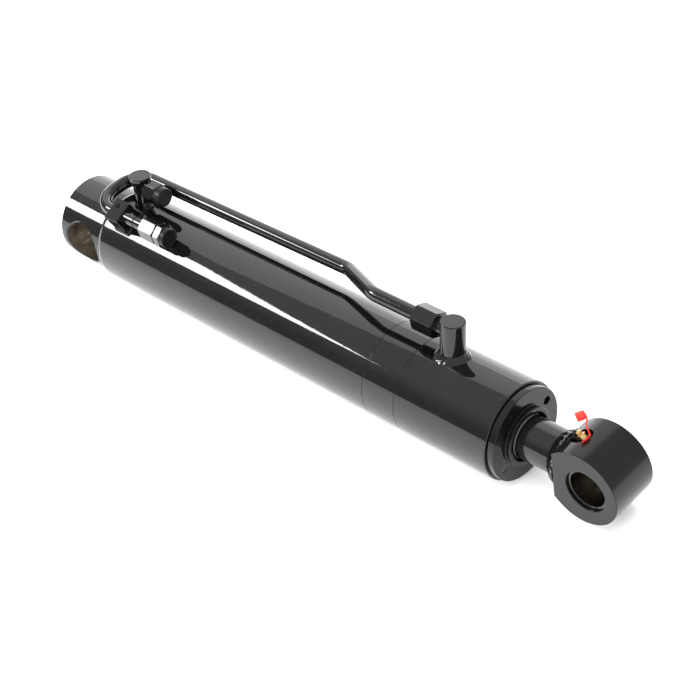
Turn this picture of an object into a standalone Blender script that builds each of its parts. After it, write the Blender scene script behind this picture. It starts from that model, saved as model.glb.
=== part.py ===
"""Double-acting welded hydraulic cylinder with a pin bore at each end.

The cylinder lies along X. The origin is the centre of the base pin bore, whose axis is Y, and the
rod end points along +X. The two port posts stand on top of the barrel. The cylinder is built fully
closed, and extends by STROKE. All sizes are in metres.
"""
import math

import bmesh
import bpy
from mathutils import Matrix, Vector

# ---- driving dimensions ----------------------------------------------------------------------
GAP = 0.0003                    # clearance kept between pieces that touch
BARREL_R = 0.0508               # 4 in barrel, outside
BORE_R = 0.04445                # 3.5 in bore
ROD_R = 0.022225                # 1.75 in rod
STROKE = 0.3556                 # 14 in
PIN_TO_PIN = 0.685              # closed length between the two pin bores

BASE_R = 0.0474                 # solid base block
BASE_END_X = -0.034
BASE_BORE_R = 0.0255            # 2 in pin
SPIGOT_END_X = 0.050            # base block's spigot inside the barrel
BARREL_START_X = 0.0375
RING_START_X = 0.4334           # short ring between barrel tube and head sleeve
RING_END_X = 0.4745
HEAD_END_X = 0.5876
GLAND_START_X = 0.4950
GLAND_FACE_X = 0.5956
GLAND_FLANGE_R = 0.0481
COLLAR_END_X = 0.6008
COLLAR_R = 0.0300
COLLAR_RECESS_R = 0.0256
SPANNER_HOLE_R = 0.0043
SPANNER_CIRCLE_R = 0.0379
SPANNER_CLOCK = 62.0            # degrees about X, from +Z towards +Y

EYE_WIDTH = 0.0548
EYE_R = 0.0405
EYE_ARC_OFFSET = -0.0059        # the eye's arc is centred a little towards the rod
EYE_FLAT = -0.0370              # flat that the rod is welded to, from the bore's centre
EYE_FLAT_HALF = 0.0275
EYE_BORE_R = 0.0220
BUSH_BORE_R = 0.01905           # 1.5 in pin
BUSH_RECESS = 0.0030

ROD_PORT_X = 0.5067
ROD_PORT_CLOCK = 7.6            # degrees
ROD_PORT_TOP = 0.0887
POST_R = 0.0126
ROD_PORT_AXIS = 0.0765          # height of the rod port's opening
TUBE_H = 0.0645                 # height of the transfer tube's long run above the cylinder's axis
TUBE_R = 0.0073
TUBE_BORE_R = 0.0053
UNION_NUT_AF = 0.0250

BASE_PORT_X = 0.0652
BASE_PORT_CLOCK = 4.8
BASE_PORT_TOP = 0.0883
BASE_PORT_AXIS = 0.0737         # height of the base port's opening
BASE_NECK_R = 0.0090
BASE_HEAD_R = 0.0122

BLOCK_CLOCK = -26.5             # port block that the transfer tube runs into
BLOCK_START_X = 0.0565
BLOCK_END_X = 0.0770
BLOCK_HALF = 0.0130
BLOCK_TOP = 0.0750
BLOCK_AXIS = 0.0660             # height of the block's passage

BLOCK_SCREW_X = 0.0655           # plug screw in the block's top
BLOCK_SCREW_OFFSET = 0.0045
BLOCK_ADAPTER = (0.1080, 0.1300)         # start and end of the hexagons on the block's port
BLOCK_CAP_NUT = (0.1312, 0.1402)
BLOCK_PLUG_END_X = 0.1463
BLOCK_PLUG_R = 0.0107
HEX_TURN = 9.0                   # degrees
PORT_R = 0.0040                 # oil passages
HEX_AF = 0.0222                 # hexagons on the port block, across flats
RIM = 0.0006                    # small turned chamfer

ROUND = 36                      # facets of the large turned pieces
FINE = 20                       # facets of the small ones
INNER = 36                      # facets of the seals and other inner pieces

PARTS = "hydraulic_cylinder"
CUTTERS = "cutters"


# ---- scene helpers ---------------------------------------------------------------------------
def clear_scene():
    for obj in list(bpy.data.objects):
        bpy.data.objects.remove(obj, do_unlink=True)


def collection(name):
    found = bpy.data.collections.get(name)
    if found is None:
        found = bpy.data.collections.new(name)
        bpy.context.scene.collection.children.link(found)
    return found


def material(name, colour, roughness, metallic=0.0, coat=0.0):
    """A Principled material, made once for each name."""
    found = bpy.data.materials.get(name)
    if found is not None:
        return found
    made = bpy.data.materials.new(name)
    made.use_nodes = True
    shader = made.node_tree.nodes["Principled BSDF"]
    shader.inputs["Base Color"].default_value = (*colour, 1.0)
    shader.inputs["Roughness"].default_value = roughness
    shader.inputs["Metallic"].default_value = metallic
    shader.inputs["Coat Weight"].default_value = coat
    made.diffuse_color = (*colour, 1.0)
    return made


def black_paint():
    return material("gloss_black_paint", (0.012, 0.012, 0.013), 0.12, 0.0, 0.5)


def bare_steel():
    return material("bare_steel", (0.42, 0.40, 0.37), 0.35, 1.0)


def chrome():
    return material("chrome_plate", (0.75, 0.76, 0.78), 0.10, 1.0)


def seal_rubber():
    return material("seal_rubber", (0.03, 0.03, 0.03), 0.6)


def ptfe():
    return material("filled_ptfe", (0.10, 0.16, 0.13), 0.5)


def bush_steel():
    return material("bush_steel", (0.20, 0.17, 0.13), 0.45, 1.0)


def brass():
    return material("brass", (0.78, 0.58, 0.25), 0.3, 1.0)


def red_plastic():
    return material("red_plastic", (0.75, 0.03, 0.02), 0.45)


def cap_plastic():
    return material("cap_plastic", (0.03, 0.03, 0.035), 0.5)


def add_object(name, data, mat, group=PARTS):
    obj = bpy.data.objects.new(name, data)
    collection(group).objects.link(obj)
    if mat is not None:
        data.materials.append(mat)
    return obj


def smooth(mesh):
    mesh.shade_smooth()
    mesh.set_sharp_from_angle(angle=math.radians(35))


def clocked(degrees):
    """Unit vector square to X, turned about X from +Z towards +Y."""
    turn = math.radians(degrees)
    return Vector((0.0, math.sin(turn), math.cos(turn)))


def frame_at(clock):
    """The directions along, across and away from the barrel at a clock angle."""
    up = clocked(clock)
    across = Vector((0.0, up.z, -up.y))
    return Vector((1.0, 0.0, 0.0)), across, up


def place(clock, x, lateral, height):
    along, across, up = frame_at(clock)
    return along * x + across * lateral + up * height


def aimed(direction):
    """Rotation that turns local +Z to a direction."""
    return Vector(direction).to_track_quat("Z", "Y")


# ---- shapes ----------------------------------------------------------------------------------
def turned(name, profile, mat, at=(0, 0, 0), axis=(1, 0, 0), ring=False, steps=ROUND, group=PARTS):
    """A turned piece. The profile is (distance along the axis, radius), down its outer side first;
    a ring's profile closes on itself, and a solid's starts and ends on the axis."""
    mesh = bpy.data.meshes.new(name)
    points = [(radius, 0.0, along) for along, radius in profile]
    edges = [(i, i + 1) for i in range(len(points) - 1)]
    if ring:
        edges.append((len(points) - 1, 0))
    mesh.from_pydata(points, edges, [])
    obj = add_object(name, mesh, mat, group)
    obj.rotation_mode = "QUATERNION"
    obj.rotation_quaternion = aimed(axis)
    obj.location = at
    screw = obj.modifiers.new("turn", "SCREW")
    screw.axis = "Z"
    screw.steps = steps
    screw.render_steps = steps
    screw.use_merge_vertices = True
    screw.merge_threshold = 0.00002
    screw.use_smooth_shade = True
    return obj


def hide_cutter(obj):
    obj.hide_render = True
    obj.display_type = "WIRE"
    return obj


def rod_cutter(name, start, end, radius, facets=FINE):
    """A plain cylinder between two points, used to cut."""
    start, end = Vector(start), Vector(end)
    mesh = bpy.data.meshes.new(name)
    shape = bmesh.new()
    bmesh.ops.create_cone(shape, cap_ends=True, segments=facets, radius1=radius, radius2=radius,
                          depth=(end - start).length)
    shape.to_mesh(mesh)
    shape.free()
    obj = add_object(name, mesh, None, CUTTERS)
    obj.rotation_mode = "QUATERNION"
    obj.rotation_quaternion = aimed(end - start)
    obj.location = (start + end) / 2
    return hide_cutter(obj)


def cut(obj, cutter, operation="DIFFERENCE"):
    change = obj.modifiers.new(operation.lower(), "BOOLEAN")
    change.operation = operation
    change.solver = "EXACT"
    change.object = cutter
    return obj


def chamfered(start, end, radius, rim=RIM):
    """Profile of a solid cylinder with both rims chamfered."""
    return [(end, 0.0), (end, radius - rim), (end - rim, radius),
            (start + rim, radius), (start, radius - rim), (start, 0.0)]


def sleeve(start, end, outer, inner, rim=0.0):
    """Profile of a plain tube or ring."""
    if rim == 0.0:
        return [(end, outer), (start, outer), (start, inner), (end, inner)]
    return [(end, outer - rim), (end - rim, outer), (start + rim, outer), (start, outer - rim),
            (start, inner), (end, inner)]


def hexagon(name, at, axis, start, end, across_flats, mat, turn=0.0):
    """A hexagon with chamfered corners, from start to end along an axis through a point."""
    axis = Vector(axis).normalized()
    corner_r = across_flats / math.sqrt(3.0)
    mesh = bpy.data.meshes.new(name)
    shape = bmesh.new()
    bmesh.ops.create_cone(shape, cap_ends=True, segments=6, radius1=corner_r, radius2=corner_r,
                          depth=end - start, matrix=Matrix.Rotation(math.radians(turn), 4, "Z"))
    shape.to_mesh(mesh)
    shape.free()
    obj = add_object(name, mesh, mat)
    obj.rotation_mode = "QUATERNION"
    obj.rotation_quaternion = aimed(axis)
    obj.location = Vector(at) + axis * (start + end) / 2
    face_r = across_flats * 0.485
    slope = (corner_r - face_r) * 0.6
    envelope = turned(name + "_chamfer", [(end, 0), (end, face_r), (end - slope, corner_r * 1.01),
                                          (start + slope, corner_r * 1.01), (start, face_r),
                                          (start, 0)],
                      None, at, axis, steps=FINE, group=CUTTERS)
    hide_cutter(envelope)
    return cut(obj, envelope, "INTERSECT")


def rounded_path(corners, radius, arc_points=7):
    """Points along straight runs joined by arcs of one radius at the corners."""
    points = [corners[0]]
    for before, corner, after in zip(corners, corners[1:], corners[2:]):
        back = (before - corner).normalized()
        ahead = (after - corner).normalized()
        half = back.angle(ahead) / 2
        reach = radius / math.tan(half)
        centre = corner + (back + ahead).normalized() * (radius / math.sin(half))
        first = (corner + back * reach - centre).normalized()
        last = (corner + ahead * reach - centre).normalized()
        for i in range(arc_points):
            points.append(centre + first.slerp(last, i / (arc_points - 1)) * radius)
    points.append(corners[-1])
    return points


def pipe_mesh(name, points, radius):
    """A closed mesh swept round a line of points."""
    curve = bpy.data.curves.new(name, "CURVE")
    curve.dimensions = "3D"
    curve.bevel_depth = radius
    curve.bevel_resolution = 3
    curve.use_fill_caps = True
    line = curve.splines.new("POLY")
    line.points.add(len(points) - 1)
    for slot, point in zip(line.points, points):
        slot.co = (*point, 1.0)
    guide = add_object(name + "_curve", curve, None, CUTTERS)
    depsgraph = bpy.context.evaluated_depsgraph_get()
    mesh = bpy.data.meshes.new_from_object(guide.evaluated_get(depsgraph))
    bpy.data.objects.remove(guide, do_unlink=True)
    shape = bmesh.new()
    shape.from_mesh(mesh)
    bmesh.ops.remove_doubles(shape, verts=shape.verts, dist=0.00002)
    bmesh.ops.recalc_face_normals(shape, faces=shape.faces)
    shape.to_mesh(mesh)
    shape.free()
    return mesh


def barrel_cutter(name="barrel_outside"):
    """The barrel's outer surface with its clearance, which fits pieces welded on it."""
    return rod_cutter(name, (-0.02, 0, 0), (0.62, 0, 0), BARREL_R + GAP, 72)


# ---- barrel ----------------------------------------------------------------------------------
def make_base_block():
    step_x = BARREL_START_X - GAP
    rim = 0.0012
    profile = [(SPIGOT_END_X, 0.0), (SPIGOT_END_X, BORE_R - 0.0016),
               (SPIGOT_END_X - rim, BORE_R - GAP), (step_x, BORE_R - GAP), (step_x, BASE_R),
               (BASE_END_X + rim, BASE_R), (BASE_END_X, BASE_R - rim), (BASE_END_X, 0.0)]
    block = turned("base_block", profile, black_paint())
    reach = BASE_R + 0.01
    return cut(block, rod_cutter("base_pin_bore", (0, -reach, 0), (0, reach, 0), BASE_BORE_R, ROUND))


def make_base_weld():
    inner = BASE_R + GAP
    end = BARREL_START_X - GAP
    profile = [(end, BARREL_R - 0.0004), (end - 0.0012, BARREL_R - 0.0006),
               (end - 0.0034, BARREL_R - 0.0018), (end - 0.0052, inner + 0.0005),
               (end - 0.0056, inner), (end, inner)]
    return turned("base_weld", profile, black_paint(), ring=True)


def make_barrel_tube():
    profile = sleeve(BARREL_START_X, RING_START_X - GAP / 2, BARREL_R, BORE_R, 0.0005)
    barrel = turned("barrel_tube", profile, black_paint(), ring=True)
    low, high = (place(BASE_PORT_CLOCK, BASE_PORT_X, 0, h) for h in (0.035, 0.060))
    return cut(barrel, rod_cutter("base_port_drilling", low, high, PORT_R, 12))


def make_joint_ring():
    profile = sleeve(RING_START_X + GAP / 2, RING_END_X - GAP / 2, BARREL_R, BORE_R)
    return turned("joint_ring", profile, black_paint(), ring=True)


def make_head_sleeve():
    profile = sleeve(RING_END_X + GAP / 2, HEAD_END_X, BARREL_R, BORE_R, 0.0004)
    head = turned("head_sleeve", profile, black_paint(), ring=True)
    low, high = (place(ROD_PORT_CLOCK, ROD_PORT_X, 0, h) for h in (0.035, 0.060))
    return cut(head, rod_cutter("rod_port_drilling", low, high, PORT_R, 12))


# ---- gland -----------------------------------------------------------------------------------
WEAR_RING = (0.5050, 0.5250, 0.0247)     # start, end and depth of the gland's inner grooves
ROD_SEAL = (0.5450, 0.5530, 0.0277)
WIPER = (0.5868, 0.5922, 0.0271)
O_RING = (0.5368, 0.5420, 0.0412)        # outer groove
WIPER_LIP = 0.0030
GLAND_BORE_R = ROD_R + 0.00033
GLAND_NOSE_END_X = 0.5200


def make_gland():
    spigot_r = BORE_R - GAP
    outside = [(COLLAR_END_X, COLLAR_R - RIM), (COLLAR_END_X - RIM, COLLAR_R),
               (GLAND_FACE_X, COLLAR_R), (GLAND_FACE_X, GLAND_FLANGE_R - RIM),
               (GLAND_FACE_X - RIM, GLAND_FLANGE_R), (HEAD_END_X + GAP, GLAND_FLANGE_R),
               (HEAD_END_X + GAP, spigot_r), (O_RING[1], spigot_r), (O_RING[1], O_RING[2]),
               (O_RING[0], O_RING[2]), (O_RING[0], spigot_r), (GLAND_NOSE_END_X, spigot_r),
               (GLAND_NOSE_END_X, 0.0385), (GLAND_START_X, 0.0385)]
    inside = [(GLAND_START_X, GLAND_BORE_R)]
    for start, end, depth in (WEAR_RING, ROD_SEAL):
        inside += [(start, GLAND_BORE_R), (start, depth), (end, depth), (end, GLAND_BORE_R)]
    inside += [(WIPER[0], GLAND_BORE_R), (WIPER[0], WIPER[2]), (WIPER[1], WIPER[2]),
               (WIPER[1], COLLAR_RECESS_R), (COLLAR_END_X - RIM, COLLAR_RECESS_R),
               (COLLAR_END_X, COLLAR_RECESS_R + RIM)]
    gland = turned("gland", outside + inside, black_paint(), ring=True)
    for i in range(2):
        spot = clocked(SPANNER_CLOCK + 180 * i) * SPANNER_CIRCLE_R
        low = Vector((HEAD_END_X - 0.003, 0, 0)) + spot
        high = Vector((GLAND_FACE_X + 0.003, 0, 0)) + spot
        cut(gland, rod_cutter("spanner_hole_%d" % i, low, high, SPANNER_HOLE_R, 12))
    return gland


def make_gland_seals():
    inner = GLAND_BORE_R
    turned("gland_wear_ring", sleeve(WEAR_RING[0] + GAP, WEAR_RING[1] - GAP, WEAR_RING[2] - GAP,
                                     inner), ptfe(), ring=True, steps=INNER)
    start, end, depth = ROD_SEAL
    lips = [(end - GAP, depth - GAP), (start + GAP, depth - GAP), (start + GAP, depth - 0.0014),
            (start + 0.0030, (depth + inner) / 2), (start + GAP, inner + 0.0010),
            (start + GAP, inner), (end - GAP, inner)]
    turned("rod_seal", lips, seal_rubber(), ring=True, steps=INNER)
    start, end, depth = WIPER
    lip_x = end + WIPER_LIP
    wiper = [(lip_x, inner + 0.0003), (end, COLLAR_RECESS_R - 0.0016),
             (end - GAP, depth - GAP), (start + GAP, depth - GAP), (start + GAP, inner),
             (lip_x, inner)]
    turned("wiper_seal", wiper, seal_rubber(), ring=True, steps=INNER)
    start, end, depth = O_RING
    radius = (BORE_R - depth - 2 * GAP) / 2
    centre_r = depth + GAP + radius
    centre_x = end - GAP - radius
    ring = [(centre_x + radius * math.cos(math.tau * i / 6),
             centre_r + radius * math.sin(math.tau * i / 6)) for i in range(6)]
    turned("gland_o_ring", ring, seal_rubber(), ring=True, steps=INNER)
    backup = sleeve(start + GAP, centre_x - radius - GAP, BORE_R - GAP, depth + GAP)
    turned("gland_backup_ring", backup, ptfe(), ring=True, steps=INNER)


# ---- rod-end port and transfer tube ----------------------------------------------------------
NUT_START_X = 0.4635
NUT_END_X = 0.4905
NIPPLE_START_X = 0.4785
TUBE_END_X = NIPPLE_START_X - GAP
FERRULE = (0.4670, 0.4735)
NIPPLE_R = 0.0090
NIPPLE_THREAD_R = 0.0084
SEAT_R = 0.0101                  # ferrule's seat in the union nut


def weld_skirt(name, x, clock, post_r, spread, rise, cutter):
    """A ring of weld between a post and the barrel."""
    inner = post_r + GAP
    low = BARREL_R - 0.012
    surface = BARREL_R
    profile = [(surface + rise, inner + 0.0006), (surface + rise * 0.45, inner + spread * 0.35),
               (surface + rise * 0.12, inner + spread * 0.8), (surface - 0.002, inner + spread),
               (low, inner + spread), (low, inner)]
    skirt = turned(name, profile, black_paint(), place(clock, x, 0, 0), clocked(clock), ring=True,
                   steps=FINE)
    return cut(skirt, cutter)


def make_rod_port(cutter):
    up = clocked(ROD_PORT_CLOCK)
    at = Vector((ROD_PORT_X, 0, 0))
    post = turned("rod_port_post", chamfered(0.040, ROD_PORT_TOP, POST_R), black_paint(), at, up,
                  steps=FINE)
    cut(post, cutter)
    cut(post, rod_cutter("rod_post_passage", at + up * 0.035, at + up * (ROD_PORT_AXIS + 0.003),
                         PORT_R, 12))
    port = at + up * ROD_PORT_AXIS
    cut(post, rod_cutter("rod_post_side_bore", port, port - Vector((0.02, 0, 0)), PORT_R, 12))
    cut(post, rod_cutter("rod_post_socket", port - Vector((POST_R - 0.0040, 0, 0)),
                         port - Vector((0.02, 0, 0)), NIPPLE_THREAD_R + GAP, FINE))
    weld_skirt("rod_port_weld", ROD_PORT_X, ROD_PORT_CLOCK, POST_R, 0.0062, 0.0058, cutter)
    axis_at = up * ROD_PORT_AXIS
    end = ROD_PORT_X - POST_R + 0.0040 - GAP
    nipple = [(end, NIPPLE_THREAD_R), (NUT_END_X + GAP, NIPPLE_THREAD_R), (NUT_END_X - 0.0010, NIPPLE_R),
              (NIPPLE_START_X + 0.0008, NIPPLE_R), (NIPPLE_START_X, NIPPLE_THREAD_R),
              (NIPPLE_START_X, PORT_R), (end, PORT_R)]
    turned("rod_port_nipple", nipple, black_paint(), axis_at, (1, 0, 0), ring=True, steps=FINE)


def nut_bore(name, at, start, end):
    """What is cut out of a union nut: the tube's hole, the ferrule's seat and the thread."""
    tube_r = TUBE_R + GAP
    thread_r = NIPPLE_R + GAP
    profile = [(end + 0.002, 0.0), (end + 0.002, thread_r), (start + 0.0115, thread_r),
               (start + 0.0105, SEAT_R), (start + 0.0045, SEAT_R), (start + 0.0030, tube_r),
               (start - 0.002, tube_r), (start - 0.002, 0.0)]
    return hide_cutter(turned(name, profile, None, at, (1, 0, 0), steps=FINE, group=CUTTERS))


def make_union_nut():
    at = clocked(ROD_PORT_CLOCK) * ROD_PORT_AXIS
    nut = hexagon("rod_union_nut", at, (1, 0, 0), NUT_START_X, NUT_END_X, UNION_NUT_AF,
                  black_paint(), turn=5.0)
    cut(nut, nut_bore("rod_union_nut_bore", at, NUT_START_X, NUT_END_X))
    start, end = FERRULE
    seat_r = SEAT_R - GAP
    ferrule = [(end, TUBE_R + 0.0008), (end - 0.0028, seat_r), (start + 0.0012, seat_r),
               (start + 0.0005, TUBE_R + 0.0010), (start + 0.0005, TUBE_R + GAP), (end, TUBE_R + GAP)]
    turned("tube_ferrule", ferrule, bare_steel(), at, (1, 0, 0), ring=True, steps=FINE)


def tube_corners(start_x, end_x):
    """The transfer tube's corners, from the rod-end nut round to the port block."""
    clock = ROD_PORT_CLOCK
    block = place(BLOCK_CLOCK, 0, 0, BLOCK_AXIS)
    bend_x = 0.0255
    return [place(clock, start_x, 0, ROD_PORT_AXIS), place(clock, 0.4050, 0, ROD_PORT_AXIS),
            place(clock, 0.3430, 0.0305, TUBE_H), place(clock, bend_x, 0.0240, TUBE_H),
            block + Vector((bend_x, 0, 0)), block + Vector((end_x, 0, 0))]


def make_transfer_tube():
    bend_r = 0.0262
    end_x = BLOCK_START_X - GAP
    path = rounded_path(tube_corners(TUBE_END_X, end_x), bend_r)
    mesh = pipe_mesh("transfer_tube", path, TUBE_R)
    smooth(mesh)
    tube = add_object("transfer_tube", mesh, black_paint())
    inside = rounded_path(tube_corners(TUBE_END_X + 0.002, end_x + 0.002), bend_r)
    bore = add_object("transfer_tube_bore", pipe_mesh("transfer_tube_bore", inside, TUBE_BORE_R),
                      None, CUTTERS)
    return cut(tube, hide_cutter(bore))


# ---- base ports ------------------------------------------------------------------------------
BASE_ADAPTER = (0.0779, 0.0950)          # start and end of the hexagon
BASE_ADAPTER_AF = 0.0215
BASE_CAP_R = 0.0104
BASE_CAP_END_X = 0.1043


def make_base_port(cutter):
    up = clocked(BASE_PORT_CLOCK)
    at = Vector((BASE_PORT_X, 0, 0))
    top = BASE_PORT_TOP
    profile = [(top, 0.0), (top, BASE_HEAD_R - RIM), (top - RIM, BASE_HEAD_R),
               (top - 0.0042, BASE_HEAD_R), (top - 0.0085, BASE_NECK_R + 0.0010),
               (top - 0.0120, BASE_NECK_R), (0.040, BASE_NECK_R), (0.040, 0.0)]
    post = turned("base_port_post", profile, black_paint(), at, up, steps=FINE)
    cut(post, cutter)
    cut(post, rod_cutter("base_post_passage", at + up * 0.035, at + up * (BASE_PORT_AXIS + 0.003),
                         PORT_R, 12))
    port = at + up * BASE_PORT_AXIS
    cut(post, rod_cutter("base_post_side_bore", port, port + Vector((0.02, 0, 0)), PORT_R, 12))
    socket_x = BASE_NECK_R - 0.0040
    cut(post, rod_cutter("base_post_socket", port + Vector((socket_x, 0, 0)),
                         port + Vector((0.02, 0, 0)), 0.0068, FINE))
    weld_skirt("base_port_weld", BASE_PORT_X, BASE_PORT_CLOCK, BASE_NECK_R, 0.0018, 0.0070, cutter)
    axis_at = up * BASE_PORT_AXIS
    start, end = BASE_ADAPTER
    stem = [(start - GAP, 0.0065), (BASE_PORT_X + socket_x + GAP, 0.0065),
            (BASE_PORT_X + socket_x + GAP, PORT_R), (start - GAP, PORT_R)]
    turned("base_port_nipple", stem, black_paint(), axis_at, (1, 0, 0), ring=True, steps=FINE)
    adapter = hexagon("base_port_adapter", axis_at, (1, 0, 0), start, end, BASE_ADAPTER_AF,
                      black_paint(), turn=25.0)
    cut(adapter, rod_cutter("base_adapter_bore", axis_at, axis_at + Vector((0.2, 0, 0)), 0.0062, FINE))


def make_base_cap():
    """Round plug that closes the base port until a hose is fitted."""
    axis_at = clocked(BASE_PORT_CLOCK) * BASE_PORT_AXIS
    start = BASE_ADAPTER[1] + GAP
    end = BASE_CAP_END_X
    stem_start = start - 0.0100
    rim = 0.0009
    profile = [(end, 0.0), (end, BASE_CAP_R - rim), (end - rim, BASE_CAP_R),
               (start + rim, BASE_CAP_R), (start, BASE_CAP_R - rim), (start, 0.0058), (stem_start, 0.0058), (stem_start, 0.0)]
    turned("base_port_cap", profile, cap_plastic(), axis_at, (1, 0, 0), steps=FINE)


def make_port_block(cutter):
    centre = place(BLOCK_CLOCK, (BLOCK_START_X + BLOCK_END_X) / 2, 0, (0.042 + BLOCK_TOP) / 2)
    along, across, up = frame_at(BLOCK_CLOCK)
    shape = bmesh.new()
    bmesh.ops.create_cube(shape, size=1.0)
    size = Vector((BLOCK_END_X - BLOCK_START_X, 2 * BLOCK_HALF, BLOCK_TOP - 0.042))
    bmesh.ops.scale(shape, vec=size, verts=shape.verts)
    bmesh.ops.bevel(shape, geom=shape.edges[:], offset=0.0008, segments=1, affect="EDGES")
    mesh = bpy.data.meshes.new("port_block")
    shape.to_mesh(mesh)
    shape.free()
    block = add_object("port_block", mesh, black_paint())
    turn = Matrix((along, across, up)).transposed()
    block.matrix_world = Matrix.Translation(centre) @ turn.to_4x4()
    cut(block, cutter)
    axis_at = place(BLOCK_CLOCK, 0, 0, BLOCK_AXIS)
    cut(block, rod_cutter("block_passage", axis_at, axis_at + Vector((0.2, 0, 0)), PORT_R, 12))
    cut(block, rod_cutter("block_socket", axis_at + Vector((BLOCK_END_X - 0.008, 0, 0)),
                          axis_at + Vector((0.2, 0, 0)), 0.0075, FINE))
    screw_low, screw_high = (place(BLOCK_CLOCK, BLOCK_SCREW_X, BLOCK_SCREW_OFFSET, h)
                             for h in (BLOCK_TOP - 0.0040, BLOCK_TOP + 0.003))
    cut(block, rod_cutter("block_screw_hole", screw_low, screw_high, 0.0031, 12))
    return block


def make_block_screw():
    at = place(BLOCK_CLOCK, BLOCK_SCREW_X, BLOCK_SCREW_OFFSET, BLOCK_TOP)
    profile = [(-0.0006, 0.0), (-0.0006, 0.0024), (-0.0010, 0.0028), (-0.0037, 0.0028),
               (-0.0037, 0.0)]
    turned("block_plug_screw", profile, black_paint(), at, clocked(BLOCK_CLOCK), steps=12)


def make_block_weld(cutter):
    """A frame of weld round the block's foot."""
    along, across, up = frame_at(BLOCK_CLOCK)
    inner_x = (BLOCK_END_X - BLOCK_START_X) / 2 + GAP
    inner_y = BLOCK_HALF + GAP
    bead = 0.0018
    centre = place(BLOCK_CLOCK, (BLOCK_START_X + BLOCK_END_X) / 2, 0, 0.0450)
    turn = Matrix((along, across, up)).transposed().to_4x4()

    def box(name, half_x, half_y, height, mat, group):
        shape = bmesh.new()
        bmesh.ops.create_cube(shape, size=1.0)
        bmesh.ops.scale(shape, vec=(2 * half_x, 2 * half_y, height), verts=shape.verts)
        if group == PARTS:
            rim = [e for e in shape.edges if all(v.co.z > 0 for v in e.verts)]
            bmesh.ops.bevel(shape, geom=rim, offset=bead * 0.8, segments=2, affect="EDGES")
        mesh = bpy.data.meshes.new(name)
        shape.to_mesh(mesh)
        shape.free()
        obj = add_object(name, mesh, mat, group)
        obj.matrix_world = Matrix.Translation(centre) @ turn
        return obj

    weld = box("block_weld", inner_x + bead, inner_y + bead, 0.0150, black_paint(), PARTS)
    hollow = hide_cutter(box("block_weld_hollow", inner_x, inner_y, 0.05, None, CUTTERS))
    cut(weld, hollow)
    return cut(weld, cutter)


def make_block_fittings():
    axis_at = place(BLOCK_CLOCK, 0, 0, BLOCK_AXIS)
    (hex_start, hex_end), (nut_start, nut_end) = BLOCK_ADAPTER, BLOCK_CAP_NUT
    stem = [(hex_start - GAP, 0.0072), (BLOCK_END_X - 0.0070, 0.0072),
            (BLOCK_END_X - 0.0070, PORT_R), (hex_start - GAP, PORT_R)]
    turned("block_nipple", stem, black_paint(), axis_at, (1, 0, 0), ring=True, steps=FINE)
    adapter = hexagon("block_adapter", axis_at, (1, 0, 0), hex_start, hex_end, HEX_AF,
                      black_paint(), turn=HEX_TURN)
    cut(adapter, rod_cutter("block_adapter_bore", axis_at, axis_at + Vector((0.3, 0, 0)), 0.0064, FINE))
    nut = hexagon("block_cap_nut", axis_at, (1, 0, 0), nut_start, nut_end, HEX_AF, black_paint(),
                  turn=HEX_TURN)
    stem_r, stem_start = 0.0085, nut_start + 0.0010
    cut(nut, rod_cutter("block_nut_bore", axis_at + Vector((stem_start, 0, 0)),
                        axis_at + Vector((0.3, 0, 0)), stem_r + GAP, FINE))
    start, end, rim = nut_end + GAP, BLOCK_PLUG_END_X, 0.0009
    plug = [(end, 0.0), (end, BLOCK_PLUG_R - rim), (end - rim, BLOCK_PLUG_R),
            (start, BLOCK_PLUG_R), (start, stem_r), (stem_start + GAP, stem_r),
            (stem_start + GAP, 0.0)]
    turned("block_port_plug", plug, cap_plastic(), axis_at, (1, 0, 0), steps=FINE)


# ---- piston ----------------------------------------------------------------------------------
PISTON_START_X = 0.0785
PISTON_END_X = 0.1300
PISTON_R = 0.0440
SPIGOT_R = 0.0160
PISTON_WEAR = ((0.0830, 0.0930), (0.1150, 0.1250))
PISTON_WEAR_R = 0.0418
PISTON_SEAL = (0.0985, 0.1065, 0.0378)
PISTON_O_RING = (0.1080, 0.1116, 0.0190)


def make_piston():
    outer = PISTON_R
    bore = SPIGOT_R + GAP
    outside = [(PISTON_END_X, outer - 0.001), (PISTON_END_X - 0.001, outer)]
    grooves = [(*PISTON_WEAR[1], PISTON_WEAR_R), PISTON_SEAL, (*PISTON_WEAR[0], PISTON_WEAR_R)]
    for start, end, depth in grooves:
        outside += [(end, outer), (end, depth), (start, depth), (start, outer)]
    outside += [(PISTON_START_X + 0.001, outer), (PISTON_START_X, outer - 0.001)]
    start, end, depth = PISTON_O_RING
    inside = [(PISTON_START_X, bore), (start, bore), (start, depth), (end, depth), (end, bore),
              (PISTON_END_X, bore)]
    turned("piston", outside + inside, bare_steel(), ring=True, steps=INNER)
    for i, (start, end) in enumerate(PISTON_WEAR):
        turned("piston_wear_ring_%d" % (i + 1),
               sleeve(start + GAP, end - GAP, BORE_R - GAP, PISTON_WEAR_R + GAP), ptfe(),
               ring=True, steps=INNER)
    start, end, depth = PISTON_SEAL
    turned("piston_seal", sleeve(start + GAP, end - GAP, BORE_R - GAP, depth + GAP, 0.0008),
           seal_rubber(), ring=True, steps=INNER)
    start, end, depth = PISTON_O_RING
    turned("piston_o_ring", sleeve(start + GAP, end - GAP, depth - GAP, SPIGOT_R + GAP, 0.0007),
           seal_rubber(), ring=True, steps=INNER)
    nut = hexagon("piston_nut", (0, 0, 0), (1, 0, 0), 0.0560, PISTON_START_X - GAP, 0.0480,
                  bare_steel())
    cut(nut, rod_cutter("piston_nut_bore", (0.04, 0, 0), (0.10, 0, 0), SPIGOT_R + GAP, ROUND))


# ---- rod and eye -----------------------------------------------------------------------------
ROD_END_X = PIN_TO_PIN + EYE_FLAT - GAP
EYE_WELD_LENGTH = 0.0105
EYE_WELD_RISE = 0.0060


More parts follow.
